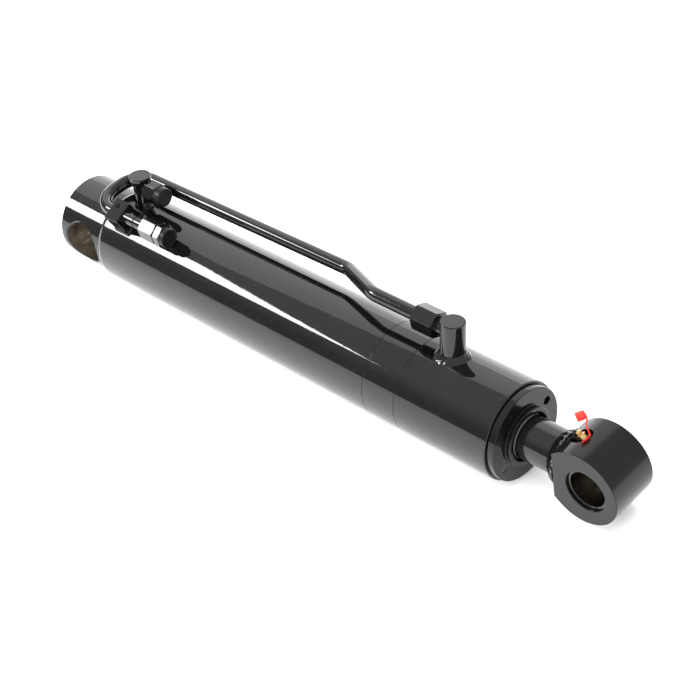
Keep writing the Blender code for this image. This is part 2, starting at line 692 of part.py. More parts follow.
def make_rod():
    start = 0.0520
    profile = [(ROD_END_X, 0.0), (ROD_END_X, ROD_R), (PISTON_END_X + GAP, ROD_R),
               (PISTON_END_X + GAP, SPIGOT_R), (start + 0.001, SPIGOT_R), (start, SPIGOT_R - 0.001),
               (start, 0.0)]
    return turned("rod", profile, chrome())


def make_eye_weld():
    inner = ROD_R + GAP
    length, rise = EYE_WELD_LENGTH, EYE_WELD_RISE
    end = ROD_END_X
    profile = [(end, inner + rise), (end - length * 0.30, inner + rise * 0.86),
               (end - length * 0.62, inner + rise * 0.45), (end - length, inner + 0.0003),
               (end - length, inner), (end, inner)]
    return turned("eye_weld", profile, black_paint(), ring=True)


def eye_outline():
    """The eye's side outline: an arc, two short straight sides and the flat for the rod."""
    flat_x = EYE_FLAT
    corner = Vector((flat_x, EYE_FLAT_HALF))
    centre = Vector((EYE_ARC_OFFSET, 0.0))
    to_corner = corner - centre
    lean = math.acos(min(1.0, EYE_R / to_corner.length))
    start = math.atan2(to_corner.y, to_corner.x) - lean
    steps = 32
    arc = []
    for i in range(steps + 1):
        turn = start - 2 * start * i / steps
        arc.append((centre.x + EYE_R * math.cos(turn), centre.y + EYE_R * math.sin(turn)))
    return [(flat_x, EYE_FLAT_HALF)] + arc + [(flat_x, -EYE_FLAT_HALF)]


NIPPLE_X = -0.0184              # grease nipple's seat, from the bore's centre
NIPPLE_Y = -0.0015
NIPPLE_Z = 0.0334
NIPPLE_TILT = 45.0              # degrees from +Z towards the barrel
POCKET_R = 0.0108


def nipple_axis():
    tilt = math.radians(NIPPLE_TILT)
    return Vector((-math.sin(tilt), 0.0, math.cos(tilt)))


def nipple_seat():
    return Vector((PIN_TO_PIN + NIPPLE_X, NIPPLE_Y, NIPPLE_Z))


def make_rod_eye():
    curve = bpy.data.curves.new("rod_eye", "CURVE")
    curve.dimensions = "2D"
    curve.fill_mode = "BOTH"
    curve.extrude = EYE_WIDTH / 2 - 0.0008
    curve.bevel_depth = 0.0008
    curve.bevel_resolution = 0
    outline = eye_outline()
    line = curve.splines.new("POLY")
    line.points.add(len(outline) - 1)
    shrink = 1.0 - 0.0008 / EYE_R
    for slot, (x, z) in zip(line.points, outline):
        slot.co = (x * shrink, z * shrink, 0.0, 1.0)
    line.use_cyclic_u = True
    guide = add_object("rod_eye_outline", curve, None, CUTTERS)
    depsgraph = bpy.context.evaluated_depsgraph_get()
    mesh = bpy.data.meshes.new_from_object(guide.evaluated_get(depsgraph))
    bpy.data.objects.remove(guide, do_unlink=True)
    shape = bmesh.new()
    shape.from_mesh(mesh)
    bmesh.ops.remove_doubles(shape, verts=shape.verts, dist=0.00002)
    bmesh.ops.recalc_face_normals(shape, faces=shape.faces)
    shape.to_mesh(mesh)
    shape.free()
    smooth(mesh)
    eye = add_object("rod_eye", mesh, black_paint())
    eye.rotation_euler = (math.pi / 2, 0, 0)
    eye.location = (PIN_TO_PIN, 0, 0)
    bore_reach = Vector((0, EYE_WIDTH, 0))
    at = Vector((PIN_TO_PIN, 0, 0))
    cut(eye, rod_cutter("rod_pin_bore", at - bore_reach, at + bore_reach, EYE_BORE_R, ROUND))
    seat, axis = nipple_seat(), nipple_axis()
    cut(eye, rod_cutter("nipple_pocket", seat, seat + axis * 0.03, POCKET_R, 20))
    cut(eye, rod_cutter("nipple_thread", seat - axis * 0.0300, seat + axis * 0.002, 0.0027, 8))
    return eye


def make_eye_bush():
    half = EYE_WIDTH / 2 - BUSH_RECESS
    outer = EYE_BORE_R - GAP
    profile = sleeve(-half, half, outer, BUSH_BORE_R, 0.0004)
    bush = turned("eye_bush", profile, bush_steel(), (PIN_TO_PIN, 0, 0), (0, 1, 0), ring=True)
    seat, axis = nipple_seat(), nipple_axis()
    return cut(bush, rod_cutter("bush_grease_hole", seat - axis * 0.0300, seat, 0.0020, 8))


def make_grease_nipple():
    seat, axis = nipple_seat(), nipple_axis()
    base = hexagon("grease_nipple", seat, axis, 0.0013, 0.0066, 0.0088, brass(), turn=10.0)
    stem = turned("nipple_stem", [(0.0013 + 0.001, 0.0), (0.0013 + 0.001, 0.0023), (-0.0060, 0.0023),
                                  (-0.0060, 0.0)], None, seat, axis, steps=10, group=CUTTERS)
    head = turned("nipple_head", [(0.0108, 0.0), (0.0108, 0.0012), (0.0101, 0.0025),
                                  (0.0092, 0.0031), (0.0081, 0.0030), (0.0075, 0.0024),
                                  (0.0060, 0.0024), (0.0060, 0.0)],
                  None, seat, axis, steps=12, group=CUTTERS)
    cut(base, hide_cutter(stem), "UNION")
    return cut(base, hide_cutter(head), "UNION")


# ---- grease cap ------------------------------------------------------------------------------
CAP_OUTER_R = 0.0046
CAP_LENGTH = 0.0083
CAP_HOLE_R = 0.0036
CAP_CENTRE = (0.6584, 0.0050, 0.0540)    # the open cap, and the way its mouth faces
CAP_MOUTH = (-0.540, -0.824, -0.151)
CAP_PIVOT = (0.66374, 0.00522, 0.04587)  # where the strap bends
STRAP_R = 0.0007
STRAP_GAP = 0.0009


def strap(name, points):
    return hide_cutter(add_object(name, pipe_mesh(name, points, STRAP_R), None, CUTTERS))


def make_cap_ring():
    """The ring held under the grease nipple, with the lower half of the cap's strap."""
    seat, axis = nipple_seat(), nipple_axis()
    pivot = Vector(CAP_PIVOT)
    ring = turned("cap_ring", sleeve(0.0001, 0.0010, 0.0056, 0.0026), red_plastic(), seat, axis,
                  ring=True, steps=FINE)
    out = pivot - seat - axis * (pivot - seat).dot(axis)
    out.normalize()
    foot = seat + axis * 0.00055 + out * 0.0050
    bend = seat + axis * 0.0020 + out * 0.0074
    end = pivot + (bend - pivot).normalized() * STRAP_GAP
    return cut(ring, strap("ring_strap", [foot, bend, end]), "UNION")


def make_grease_cap():
    """The cap with the upper half of its strap, which swings about the bend."""
    centre, mouth = Vector(CAP_CENTRE), Vector(CAP_MOUTH).normalized()
    half = CAP_LENGTH / 2
    floor = -half + 0.0018
    profile = [(floor, 0.0), (floor, CAP_HOLE_R * 0.9), (half, CAP_HOLE_R), (half, CAP_OUTER_R),
               (-half + 0.0006, CAP_OUTER_R * 0.94), (-half, CAP_OUTER_R * 0.84), (-half, 0.0)]
    cap = turned("grease_cap", profile[::-1], red_plastic(), centre, mouth, steps=20)
    closed_end = centre - mouth * (half + STRAP_R * 0.4)
    pivot = Vector(CAP_PIVOT)
    towards = closed_end - pivot
    side = towards - mouth * towards.dot(mouth)
    edge = closed_end - side.normalized() * CAP_OUTER_R * 0.9
    start = pivot + (edge - pivot).normalized() * STRAP_GAP
    return cut(cap, strap("cap_strap", [start, edge, closed_end]), "UNION")


def build():
    clear_scene()
    cutter = barrel_cutter()
    make_base_block()
    make_base_weld()
    make_barrel_tube()
    make_joint_ring()
    make_head_sleeve()
    make_gland()
    make_gland_seals()
    make_rod_port(cutter)
    make_union_nut()
    make_transfer_tube()
    make_base_port(cutter)
    make_base_cap()
    make_port_block(cutter)
    make_block_screw()
    make_block_weld(cutter)
    make_block_fittings()
    make_piston()
    make_rod()
    make_eye_weld()
    make_rod_eye()
    make_eye_bush()
    make_grease_nipple()
    make_cap_ring()
    make_grease_cap()


build()
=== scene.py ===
"""Looks of a welded hydraulic cylinder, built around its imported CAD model. Metres, +Z up."""
import math

import bmesh
import bpy
from mathutils import Matrix, Quaternion, Vector


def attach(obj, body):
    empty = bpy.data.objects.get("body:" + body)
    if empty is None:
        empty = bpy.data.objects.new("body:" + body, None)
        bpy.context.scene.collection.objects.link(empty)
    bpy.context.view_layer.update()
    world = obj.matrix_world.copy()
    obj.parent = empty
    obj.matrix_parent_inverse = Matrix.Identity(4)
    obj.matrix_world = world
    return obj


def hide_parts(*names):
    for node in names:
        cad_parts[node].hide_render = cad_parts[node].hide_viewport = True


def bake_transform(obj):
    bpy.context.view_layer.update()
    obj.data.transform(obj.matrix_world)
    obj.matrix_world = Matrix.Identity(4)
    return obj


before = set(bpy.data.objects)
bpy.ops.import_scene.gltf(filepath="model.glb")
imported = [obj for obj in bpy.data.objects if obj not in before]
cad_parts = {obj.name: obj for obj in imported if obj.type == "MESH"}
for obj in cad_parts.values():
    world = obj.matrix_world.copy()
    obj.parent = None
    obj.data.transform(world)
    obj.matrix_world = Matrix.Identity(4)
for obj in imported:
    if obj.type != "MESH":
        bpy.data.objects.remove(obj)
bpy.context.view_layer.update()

BARREL = "barrel_assembly"
ROD = "rod_assembly"
CAP = "grease_cap_swing"

# ---- sizes, as in the CAD model --------------------------------------------------------------
GAP = 0.0003
BARREL_R = 0.0508
BORE_R = 0.04445
ROD_R = 0.022225
PIN_TO_PIN = 0.685
BASE_R = 0.0474
BASE_END_X = -0.034
BASE_BORE_R = 0.0255
BASE_BORE_RIM = 0.0016
SPIGOT_END_X = 0.050
BARREL_START_X = 0.0375
RING_START_X = 0.4334
RING_END_X = 0.4745
HEAD_END_X = 0.5876
GLAND_START_X = 0.4950
GLAND_FACE_X = 0.5956
GLAND_FLANGE_R = 0.0481
COLLAR_END_X = 0.6008
COLLAR_R = 0.0300
COLLAR_RECESS_R = 0.0256
SPANNER_HOLE_R = 0.0043
SPANNER_CIRCLE_R = 0.0379
SPANNER_CLOCK = 62.0
EYE_WIDTH = 0.0548
EYE_R = 0.0405
EYE_ARC_OFFSET = -0.0059
EYE_FLAT = -0.0370
EYE_FLAT_HALF = 0.0275
EYE_BORE_R = 0.0220
BUSH_BORE_R = 0.01905
BUSH_RECESS = 0.0030
ROD_PORT_X = 0.5067
ROD_PORT_CLOCK = 7.6
ROD_PORT_TOP = 0.0887
POST_R = 0.0126
ROD_PORT_AXIS = 0.0765
TUBE_H = 0.0645
TUBE_R = 0.0073
UNION_NUT_AF = 0.0250
NIPPLE_R = 0.0090
NIPPLE_THREAD_R = 0.0084
NUT_TAIL_R = 0.0102
NUT_TAIL_LENGTH = 0.0042
BASE_PORT_X = 0.0652
BASE_PORT_CLOCK = 4.8
BASE_PORT_TOP = 0.0883
BASE_PORT_AXIS = 0.0737
BASE_NECK_R = 0.0090
BASE_HEAD_R = 0.0122
BLOCK_CLOCK = -26.5
BLOCK_START_X = 0.0565
BLOCK_END_X = 0.0770
BLOCK_HALF = 0.0130
BLOCK_TOP = 0.0750
BLOCK_AXIS = 0.0660
BLOCK_SCREW_X = 0.0655
BLOCK_SCREW_OFFSET = 0.0045
PORT_R = 0.0040
HEX_AF = 0.0222
WIPER = (0.5868, 0.5922, 0.0271)
GLAND_BORE_R = ROD_R + 0.00033
NUT_START_X, NUT_END_X = 0.4635, 0.4905
NIPPLE_START_X = 0.4785
BASE_ADAPTER = (0.0779, 0.0950)
BASE_ADAPTER_AF = 0.0215
BASE_CAP_R = 0.0104
BASE_CAP_END_X = 0.1043
BLOCK_ADAPTER = (0.1080, 0.1300)
BLOCK_CAP_NUT = (0.1312, 0.1402)
BLOCK_PLUG_END_X = 0.1463
BLOCK_PLUG_R = 0.0107
HEX_TURN = 9.0
ROD_END_X = PIN_TO_PIN + EYE_FLAT - GAP
EYE_WELD_LENGTH = 0.0105
EYE_WELD_RISE = 0.0060
NIPPLE_SEAT = Vector((PIN_TO_PIN - 0.0184, -0.0015, 0.0334))
NIPPLE_AXIS = Vector((-math.sqrt(0.5), 0.0, math.sqrt(0.5)))
POCKET_R = 0.0108
CAP_CENTRE = Vector((0.6584, 0.0050, 0.0540))
CAP_MOUTH = Vector((-0.540, -0.824, -0.151)).normalized()
CAP_PIVOT = Vector((0.66374, 0.00522, 0.04587))
CAP_OUTER_R, CAP_HOLE_R, CAP_LENGTH = 0.0046, 0.0036, 0.0083
STRAP_R = 0.0007

ROUND = 160                     # facets of the large turned pieces
FINE = 64                       # facets of the small ones


# ---- materials -------------------------------------------------------------------------------
class Nodes:
    """A short way to write a material's nodes."""

    def __init__(self, name):
        self.mat = bpy.data.materials.new(name)
        self.mat.use_nodes = True
        self.tree = self.mat.node_tree
        self.shader = self.tree.nodes["Principled BSDF"]
        self.coords = self.tree.nodes.new("ShaderNodeTexCoord").outputs["Object"]

    def link(self, out, into):
        self.tree.links.new(out, into)

    def add(self, kind, inputs=(), **settings):
        node = self.tree.nodes.new(kind)
        for key, value in settings.items():
            setattr(node, key, value)
        for key, value in dict(inputs).items():
            if isinstance(value, bpy.types.NodeSocket):
                self.link(value, node.inputs[key])
            else:
                node.inputs[key].default_value = value
        return node

    def noise(self, scale, detail=2.0, rough=0.5, vector=None):
        return self.add("ShaderNodeTexNoise", {"Vector": vector or self.coords, "Scale": scale,
                                               "Detail": detail, "Roughness": rough}).outputs["Fac"]

    def ramp(self, fac, *stops):
        node = self.add("ShaderNodeValToRGB", {"Fac": fac})
        points = node.color_ramp.elements
        while len(points) < len(stops):
            points.new(0.5)
        for point, (where, colour) in zip(points, stops):
            point.position = where
            if not isinstance(colour, tuple):
                colour = (colour, colour, colour)
            point.color = (*colour, 1.0)
        return node.outputs["Color"]

    def math(self, operation, first, second=0.0, clamp=False):
        node = self.add("ShaderNodeMath", {0: first, 1: second}, operation=operation)
        node.use_clamp = clamp
        return node.outputs[0]

    def mix(self, fac, first, second):
        node = self.add("ShaderNodeMix", data_type="RGBA")
        for socket, value in ((node.inputs["Factor"], fac), (node.inputs[6], first),
                              (node.inputs[7], second)):
            if isinstance(value, bpy.types.NodeSocket):
                self.link(value, socket)
            else:
                socket.default_value = value if socket == node.inputs["Factor"] else (*value, 1.0)
        return node.outputs[2]

    def bump(self, height, strength, distance, under=None):
        inputs = {"Height": height, "Strength": strength, "Distance": distance}
        if under is not None:
            inputs["Normal"] = under
        return self.add("ShaderNodeBump", inputs).outputs["Normal"]

    def set(self, **inputs):
        for key, value in inputs.items():
            socket = self.shader.inputs[key.replace("_", " ")]
            if isinstance(value, bpy.types.NodeSocket):
                self.link(value, socket)
            else:
                socket.default_value = (*value, 1.0) if isinstance(value, tuple) else value


def gloss_paint(name, ripple=1.0, roughness=(0.035, 0.075), specks=True, ior=1.48):
    """Sprayed black enamel: a faint orange peel, slow waves and a few fine specks of dust."""
    n = Nodes(name)
    peel = n.noise(900.0, 2.0, 0.5)
    waves = n.noise(75.0, 1.0, 0.4)
    cloud = n.noise(16.0, 3.0, 0.6)
    colour = n.ramp(cloud, (0.30, (0.0022, 0.0023, 0.0026)), (0.70, (0.0040, 0.0040, 0.0043)))
    rough = n.ramp(n.noise(38.0, 4.0, 0.6), (0.35, roughness[0]), (0.72, roughness[1]))
    if specks:
        dust = n.ramp(n.noise(1500.0, 1.0, 0.4), (0.76, 0.0), (0.80, 1.0))
        colour = n.mix(dust, colour, (0.10, 0.10, 0.10))
        rough = n.mix(dust, rough, (0.45, 0.45, 0.45))
    normal = n.bump(waves, 0.05 * ripple, 0.001)
    normal = n.bump(peel, 0.025 * ripple, 0.0002, normal)
    n.set(Base_Color=colour, Roughness=rough, Normal=normal, IOR=ior)
    return n.mat


def weld_paint():
    """The same enamel over a weld's uneven beads."""
    n = Nodes("weld_paint")
    drops = n.noise(420.0, 3.0, 0.6)
    lumps = n.noise(160.0, 2.0, 0.5)
    colour = n.ramp(drops, (0.3, (0.0022, 0.0022, 0.0025)), (0.7, (0.0045, 0.0045, 0.0045)))
    normal = n.bump(lumps, 0.35, 0.0006)
    normal = n.bump(drops, 0.18, 0.0004, normal)
    n.set(Base_Color=colour, Roughness=n.ramp(lumps, (0.3, 0.06), (0.7, 0.14)), Normal=normal, IOR=1.48)
    return n.mat


def rod_chrome():
    """Ground hard chrome with black overspray where the rod stood out of the gland when painted."""
    n = Nodes("rod_chrome")
    split = n.add("ShaderNodeSeparateXYZ", {"Vector": n.coords})
    rings = n.noise(1.0, 3.0, 0.6, n.add("ShaderNodeMapping", {
        "Vector": n.coords, "Scale": (9000.0, 60.0, 60.0)}).outputs[0])
    edge = n.math("ADD", split.outputs["X"], n.math("MULTIPLY", n.noise(60.0), 0.0016))
    painted = n.ramp(n.math("MULTIPLY", n.math("SUBTRACT", edge, 0.5990), 400.0), (0.0, 0.0), (1.0, 1.0))
    chrome = n.ramp(rings, (0.3, (0.56, 0.57, 0.59)), (0.7, (0.66, 0.67, 0.69)))
    paint = n.ramp(n.noise(30.0), (0.3, (0.0025, 0.0025, 0.003)), (0.7, (0.0045, 0.0045, 0.0045)))
    metal = n.math("SUBTRACT", 1.0, painted)
    normal = n.bump(rings, 0.04, 0.0002)
    normal = n.bump(n.noise(700.0), 0.03, 0.0002, normal)
    rough = n.mix(painted, n.ramp(rings, (0.3, 0.10), (0.7, 0.20)), (0.07, 0.07, 0.07))
    n.set(Base_Color=n.mix(painted, chrome, paint), Metallic=metal, Roughness=rough, Normal=normal)
    return n.mat


def turned_steel(name, light, dark, axis, roughness=(0.22, 0.40), pitch=5200.0):
    """Bare turned steel: fine tool marks round the axis, with oil stains and light rust."""
    n = Nodes(name)
    scale = [30.0, 30.0, 30.0]
    scale["XYZ".index(axis)] = pitch
    marks = n.noise(1.0, 4.0, 0.7, n.add("ShaderNodeMapping", {
        "Vector": n.coords, "Scale": tuple(scale)}).outputs[0])
    stains = n.noise(90.0, 5.0, 0.65)
    colour = n.mix(n.ramp(stains, (0.42, 0.0), (0.66, 1.0)), n.ramp(marks, (0.3, dark), (0.75, light)),
                   tuple(c * 0.45 for c in dark))
    normal = n.bump(marks, 0.22, 0.0003)
    normal = n.bump(stains, 0.10, 0.0004, normal)
    n.set(Base_Color=colour, Metallic=1.0, Normal=normal,
          Roughness=n.ramp(stains, (0.35, roughness[0]), (0.7, roughness[1])))
    return n.mat


def moulded(name, light, dark, roughness, grain=700.0, strength=0.10, subsurface=0.0):
    """Moulded plastic or rubber with a fine grain and faint flow marks."""
    n = Nodes(name)
    flow = n.noise(120.0, 3.0, 0.6)
    skin = n.noise(grain, 3.0, 0.6)
    normal = n.bump(flow, 0.08, 0.0005)
    normal = n.bump(skin, strength, 0.0003, normal)
    n.set(Base_Color=n.ramp(flow, (0.3, dark), (0.7, light)), Normal=normal,
          Roughness=n.ramp(skin, (0.3, roughness[0]), (0.7, roughness[1])), Subsurface_Weight=subsurface,
          Subsurface_Scale=0.002)
    return n.mat


def plated_brass():
    n = Nodes("plated_brass")
    wear = n.noise(420.0, 4.0, 0.65)
    turning = n.noise(2600.0, 2.0, 0.5)
    normal = n.bump(turning, 0.08, 0.0002)
    n.set(Base_Color=n.ramp(wear, (0.3, (0.50, 0.30, 0.10)), (0.7, (0.86, 0.62, 0.30))), Metallic=1.0,
          Roughness=n.ramp(wear, (0.3, 0.34), (0.7, 0.20)), Normal=normal)
    return n.mat


PAINT = gloss_paint("gloss_black")
FITTING_PAINT = gloss_paint("gloss_black_fittings", 3.5, (0.05, 0.11))
END_PAINT = gloss_paint("gloss_black_end", 1.2, (0.06, 0.10), ior=1.37)
EYE_PAINT = gloss_paint("satin_black_eye", 1.3, (0.12, 0.19), ior=1.36)
WELD = weld_paint()
CHROME = rod_chrome()
BORE_STEEL = turned_steel("bored_steel", (0.62, 0.57, 0.49), (0.34, 0.30, 0.24), "Y", (0.30, 0.46), 1100.0)
BUSH_STEEL = turned_steel("bush_steel", (0.13, 0.11, 0.08), (0.05, 0.04, 0.03), "Y", (0.26, 0.42), 1800.0)
TURNED_STEEL = turned_steel("turned_steel", (0.52, 0.50, 0.47), (0.32, 0.30, 0.28), "X")
RUBBER = moulded("seal_rubber", (0.030, 0.030, 0.030), (0.016, 0.016, 0.017), (0.45, 0.62), 900.0)
PTFE = moulded("guide_ptfe", (0.13, 0.20, 0.16), (0.08, 0.13, 0.10), (0.45, 0.60), 600.0)
PLUG = moulded("plug_plastic", (0.007, 0.007, 0.008), (0.004, 0.004, 0.005), (0.30, 0.44), 1300.0, 0.16)
PLUG.node_tree.nodes["Principled BSDF"].inputs["IOR"].default_value = 1.26
RED = moulded("red_plastic", (0.80, 0.026, 0.016), (0.62, 0.014, 0.010), (0.30, 0.45), 900.0, 0.06, 0.10)
BRASS = plated_brass()

for node, mat in {"piston": TURNED_STEEL, "piston_nut": TURNED_STEEL, "tube_ferrule": TURNED_STEEL,
                  "rod_seal": RUBBER, "gland_o_ring": RUBBER, "piston_seal": RUBBER,
                  "piston_o_ring": RUBBER, "gland_wear_ring": PTFE, "gland_backup_ring": PTFE,
                  "piston_wear_ring_1": PTFE, "piston_wear_ring_2": PTFE,
                  "rod_port_nipple": FITTING_PAINT, "base_port_nipple": FITTING_PAINT}.items():
    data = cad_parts[node].data
    data.materials.clear()
    data.materials.append(mat)


# ---- shape helpers ---------------------------------------------------------------------------
def clocked(degrees):
    turn = math.radians(degrees)
    return Vector((0.0, math.sin(turn), math.cos(turn)))


def place(clock, x, lateral, height):
    up = clocked(clock)
    return Vector((x, 0, 0)) + Vector((0.0, up.z, -up.y)) * lateral + up * height


def linked(name, mesh, mats):
    obj = bpy.data.objects.new(name, mesh)
    bpy.context.scene.collection.objects.link(obj)
    for mat in mats if isinstance(mats, (list, tuple)) else [mats]:
        mesh.materials.append(mat)
    return obj


def shade(mesh, angle=32):
    mesh.shade_smooth()
    mesh.set_sharp_from_angle(angle=math.radians(angle))


def filleted(points, closed, steps=4):
    """A profile whose points may carry a third number, the radius their corner is rounded to."""
    out = []
    count = len(points)
    for i, point in enumerate(points):
        radius = point[2] if len(point) > 2 else 0.0
        here = Vector(point[:2])
        if radius == 0.0 or (not closed and i in (0, count - 1)):
            out.append(here)
            continue
        before = Vector(points[i - 1][:2]) - here
        after = Vector(points[(i + 1) % count][:2]) - here
        half = before.angle(after) / 2
        reach = min(radius / math.tan(half), before.length * 0.49, after.length * 0.49)
        radius = reach * math.tan(half)
        a, b = before.normalized(), after.normalized()
        centre = here + (a + b).normalized() * (radius / math.sin(half))
        first, last = here + a * reach - centre, here + b * reach - centre
        span = first.angle_signed(last)
        for k in range(steps + 1):
            turn = -span * k / steps
            out.append(centre + Matrix.Rotation(turn, 2) @ first)
    return out


def turned(name, profile, mats, at=(0, 0, 0), axis=(1, 0, 0), ring=False, steps=ROUND, zone=None):
    """A turned piece. The profile is (distance along the axis, radius, optional corner radius),
    down its outer side first. zone(distance, radius) picks a face's material."""
    points = filleted(profile, ring)
    spin = Vector(axis).to_track_quat("Z", "Y")
    at = Vector(at)
    shape = bmesh.new()
    rows = []
    for along, radius in points:
        if radius < 1e-7:
            rows.append([shape.verts.new(at + spin @ Vector((0, 0, along)))])
            continue
        rows.append([shape.verts.new(at + spin @ Vector((radius * math.cos(math.tau * i / steps),
                                                          radius * math.sin(math.tau * i / steps), along)))
                     for i in range(steps)])
    pairs = list(zip(rows, rows[1:])) + ([(rows[-1], rows[0])] if ring else [])
    middles = list(zip(points, points[1:])) + ([(points[-1], points[0])] if ring else [])
    for (one, two), (p, q) in zip(pairs, middles):
        pick = zone((p[0] + q[0]) / 2, (p[1] + q[1]) / 2) if zone else 0
        for i in range(steps):
            j = (i + 1) % steps
            corners = [one[i % len(one)], one[j % len(one)], two[j % len(two)], two[i % len(two)]]
            corners = list(dict.fromkeys(corners))
            if len(corners) > 2:
                shape.faces.new(corners).material_index = pick
    bmesh.ops.recalc_face_normals(shape, faces=shape.faces)
    mesh = bpy.data.meshes.new(name)
    shape.to_mesh(mesh)
    shape.free()
    shade(mesh)
    return linked(name, mesh, mats)


def cylinder(start, end, radius, facets=96, mat=None):
    """A plain cylinder between two points, used to cut. The cut takes its material."""
    start, end = Vector(start), Vector(end)
    axis = end - start
    return turned("cutter", [(axis.length, 0), (axis.length, radius), (0, radius), (0, 0)], mat or PAINT,
                  start, axis, steps=facets)


def carve(obj, cutter, operation="DIFFERENCE"):
    """Applies a boolean and removes its cutter. The cut takes the cutter's material."""
    change = obj.modifiers.new("carve", "BOOLEAN")
    change.operation = operation
    change.solver = "EXACT"
    change.material_mode = "TRANSFER"
    change.object = cutter
    mesh = bpy.data.meshes.new_from_object(obj.evaluated_get(bpy.context.evaluated_depsgraph_get()))
    obj.modifiers.clear()
    old = obj.data
    obj.data = mesh
    bpy.data.meshes.remove(old)
    bpy.data.objects.remove(cutter)
    shade(obj.data)
    return obj


def hexagon(name, at, axis, start, end, across_flats, turn, mat=None, bore=0.0, round_r=0.00045):
    """A hexagon with rounded edges and turned chamfers on both ends."""
    mat = mat or FITTING_PAINT
    axis = Vector(axis).normalized()
    corner_r = across_flats / math.sqrt(3.0)
    shape = bmesh.new()
    bmesh.ops.create_cone(shape, cap_ends=True, segments=6, radius1=corner_r, radius2=corner_r,
                          depth=end - start, matrix=Matrix.Rotation(math.radians(turn), 4, "Z"))
    long_edges = [e for e in shape.edges if abs(e.verts[0].co.z - e.verts[1].co.z) > 1e-5]
    bmesh.ops.bevel(shape, geom=long_edges, offset=round_r, segments=3, affect="EDGES")
    spin = axis.to_track_quat("Z", "Y").to_matrix().to_4x4()
    shape.transform(Matrix.Translation(Vector(at) + axis * (start + end) / 2) @ spin)
    mesh = bpy.data.meshes.new(name)
    shape.to_mesh(mesh)
    shape.free()
    obj = linked(name, mesh, mat)
    face_r = across_flats * 0.47
    slope = (corner_r - face_r) * 0.55
    envelope = turned("cutter", [(end, 0), (end, face_r, 0.0003), (end - slope, corner_r * 1.02),
                                 (start + slope, corner_r * 1.02), (start, face_r, 0.0003), (start, 0)],
                      mat, at, axis, steps=72)
    carve(obj, envelope, "INTERSECT")
    if bore:
        carve(obj, turned("cutter", [(end + 0.01, 0), (end + 0.01, bore), (end - 0.0002, bore),
                                     (start - 0.01, bore), (start - 0.01, 0)],
                          mat, at, axis, steps=FINE))
    return obj


def merge(target, other):
    """Joins another mesh with the same materials into a piece."""
    shape = bmesh.new()
    shape.from_mesh(target.data)
    shape.from_mesh(other.data)
    shape.to_mesh(target.data)
    shape.free()
    shade(target.data)
    bpy.data.objects.remove(other)


def rounded_path(corners, radius, arc_points=20):
    """Points along straight runs joined by arcs of one radius at the corners."""
    points = [corners[0]]
    for before, corner, after in zip(corners, corners[1:], corners[2:]):
        back = (before - corner).normalized()
        ahead = (after - corner).normalized()
        half = back.angle(ahead) / 2
        reach = radius / math.tan(half)
        centre = corner + (back + ahead).normalized() * (radius / math.sin(half))
        first = (corner + back * reach - centre).normalized()
        last = (corner + ahead * reach - centre).normalized()
        for i in range(arc_points):
            points.append(centre + first.slerp(last, i / (arc_points - 1)) * radius)
    points.append(corners[-1])
    return points


def swept(name, points, radius, mat, sides=40):
    """A closed round bar swept along points, with no twist."""
    shape = bmesh.new()
    rows = []
    tangents = []
    for i, point in enumerate(points):
        before = points[max(i - 1, 0)]
        after = points[min(i + 1, len(points) - 1)]
        tangents.append((after - before).normalized())
    side = tangents[0].orthogonal().normalized()
    for point, tangent in zip(points, tangents):
        side = (side - tangent * side.dot(tangent)).normalized()
        other = tangent.cross(side)
        rows.append([shape.verts.new(point + (side * math.cos(math.tau * k / sides)
                                              + other * math.sin(math.tau * k / sides)) * radius)
                     for k in range(sides)])
    for one, two in zip(rows, rows[1:]):
        for k in range(sides):
            m = (k + 1) % sides
            shape.faces.new((one[k], one[m], two[m], two[k]))
    shape.faces.new(rows[0][::-1])
    shape.faces.new(rows[-1])
    bmesh.ops.recalc_face_normals(shape, faces=shape.faces)
    mesh = bpy.data.meshes.new(name)
    shape.to_mesh(mesh)
    shape.free()
    shade(mesh)
    return linked(name, mesh, mat)


def even_normals(obj):
    """Lets the large faces set the shading normals, so that flats and walls reflect truly."""
    change = obj.modifiers.new("normals", "WEIGHTED_NORMAL")
    change.mode = "FACE_AREA"
    change.weight = 50
    change.keep_sharp = True
    mesh = bpy.data.meshes.new_from_object(obj.evaluated_get(bpy.context.evaluated_depsgraph_get()))
    obj.modifiers.clear()
    old = obj.data
    obj.data = mesh
    bpy.data.meshes.remove(old)


def settle(obj, body, slot, *nodes):
    """Puts a finished piece on its body, in place of its CAD nodes."""
    if obj.data.materials[0] != WELD:
        even_normals(obj)
    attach(obj, body)
    if nodes:
        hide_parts(*nodes)
    return obj


PAINT_SLOT = "gloss_black_paint"


# ---- base block and barrel -------------------------------------------------------------------
def bore_rim(outer_r, bore_r, width, side):
    """The solid that chamfers a cross bore where it leaves a round block."""
    shape = bmesh.new()
    steps = 144
    rows = []
    for i in range(steps):
        turn = math.tau * i / steps
        x, z = math.cos(turn), math.sin(turn)

        def surface(radius):
            return math.sqrt(max(outer_r ** 2 - (radius * z) ** 2, 0.0))

        inner, outer = bore_r - 0.001, bore_r + width
        section = [(bore_r, surface(bore_r) - width), (outer, surface(outer)),
                   (outer, surface(outer) + 0.004), (inner, surface(inner) + 0.004),
                   (inner, surface(bore_r) - width - 0.001)]
        rows.append([shape.verts.new((r * x, side * y, r * z)) for r, y in section])
    for i in range(steps):
        one, two = rows[i], rows[(i + 1) % steps]
        for k in range(5):
            m = (k + 1) % 5
            shape.faces.new((one[k], one[m], two[m], two[k]))
    bmesh.ops.recalc_face_normals(shape, faces=shape.faces)
    mesh = bpy.data.meshes.new("cutter")
    shape.to_mesh(mesh)
    shape.free()
    return linked("cutter", mesh, PAINT)


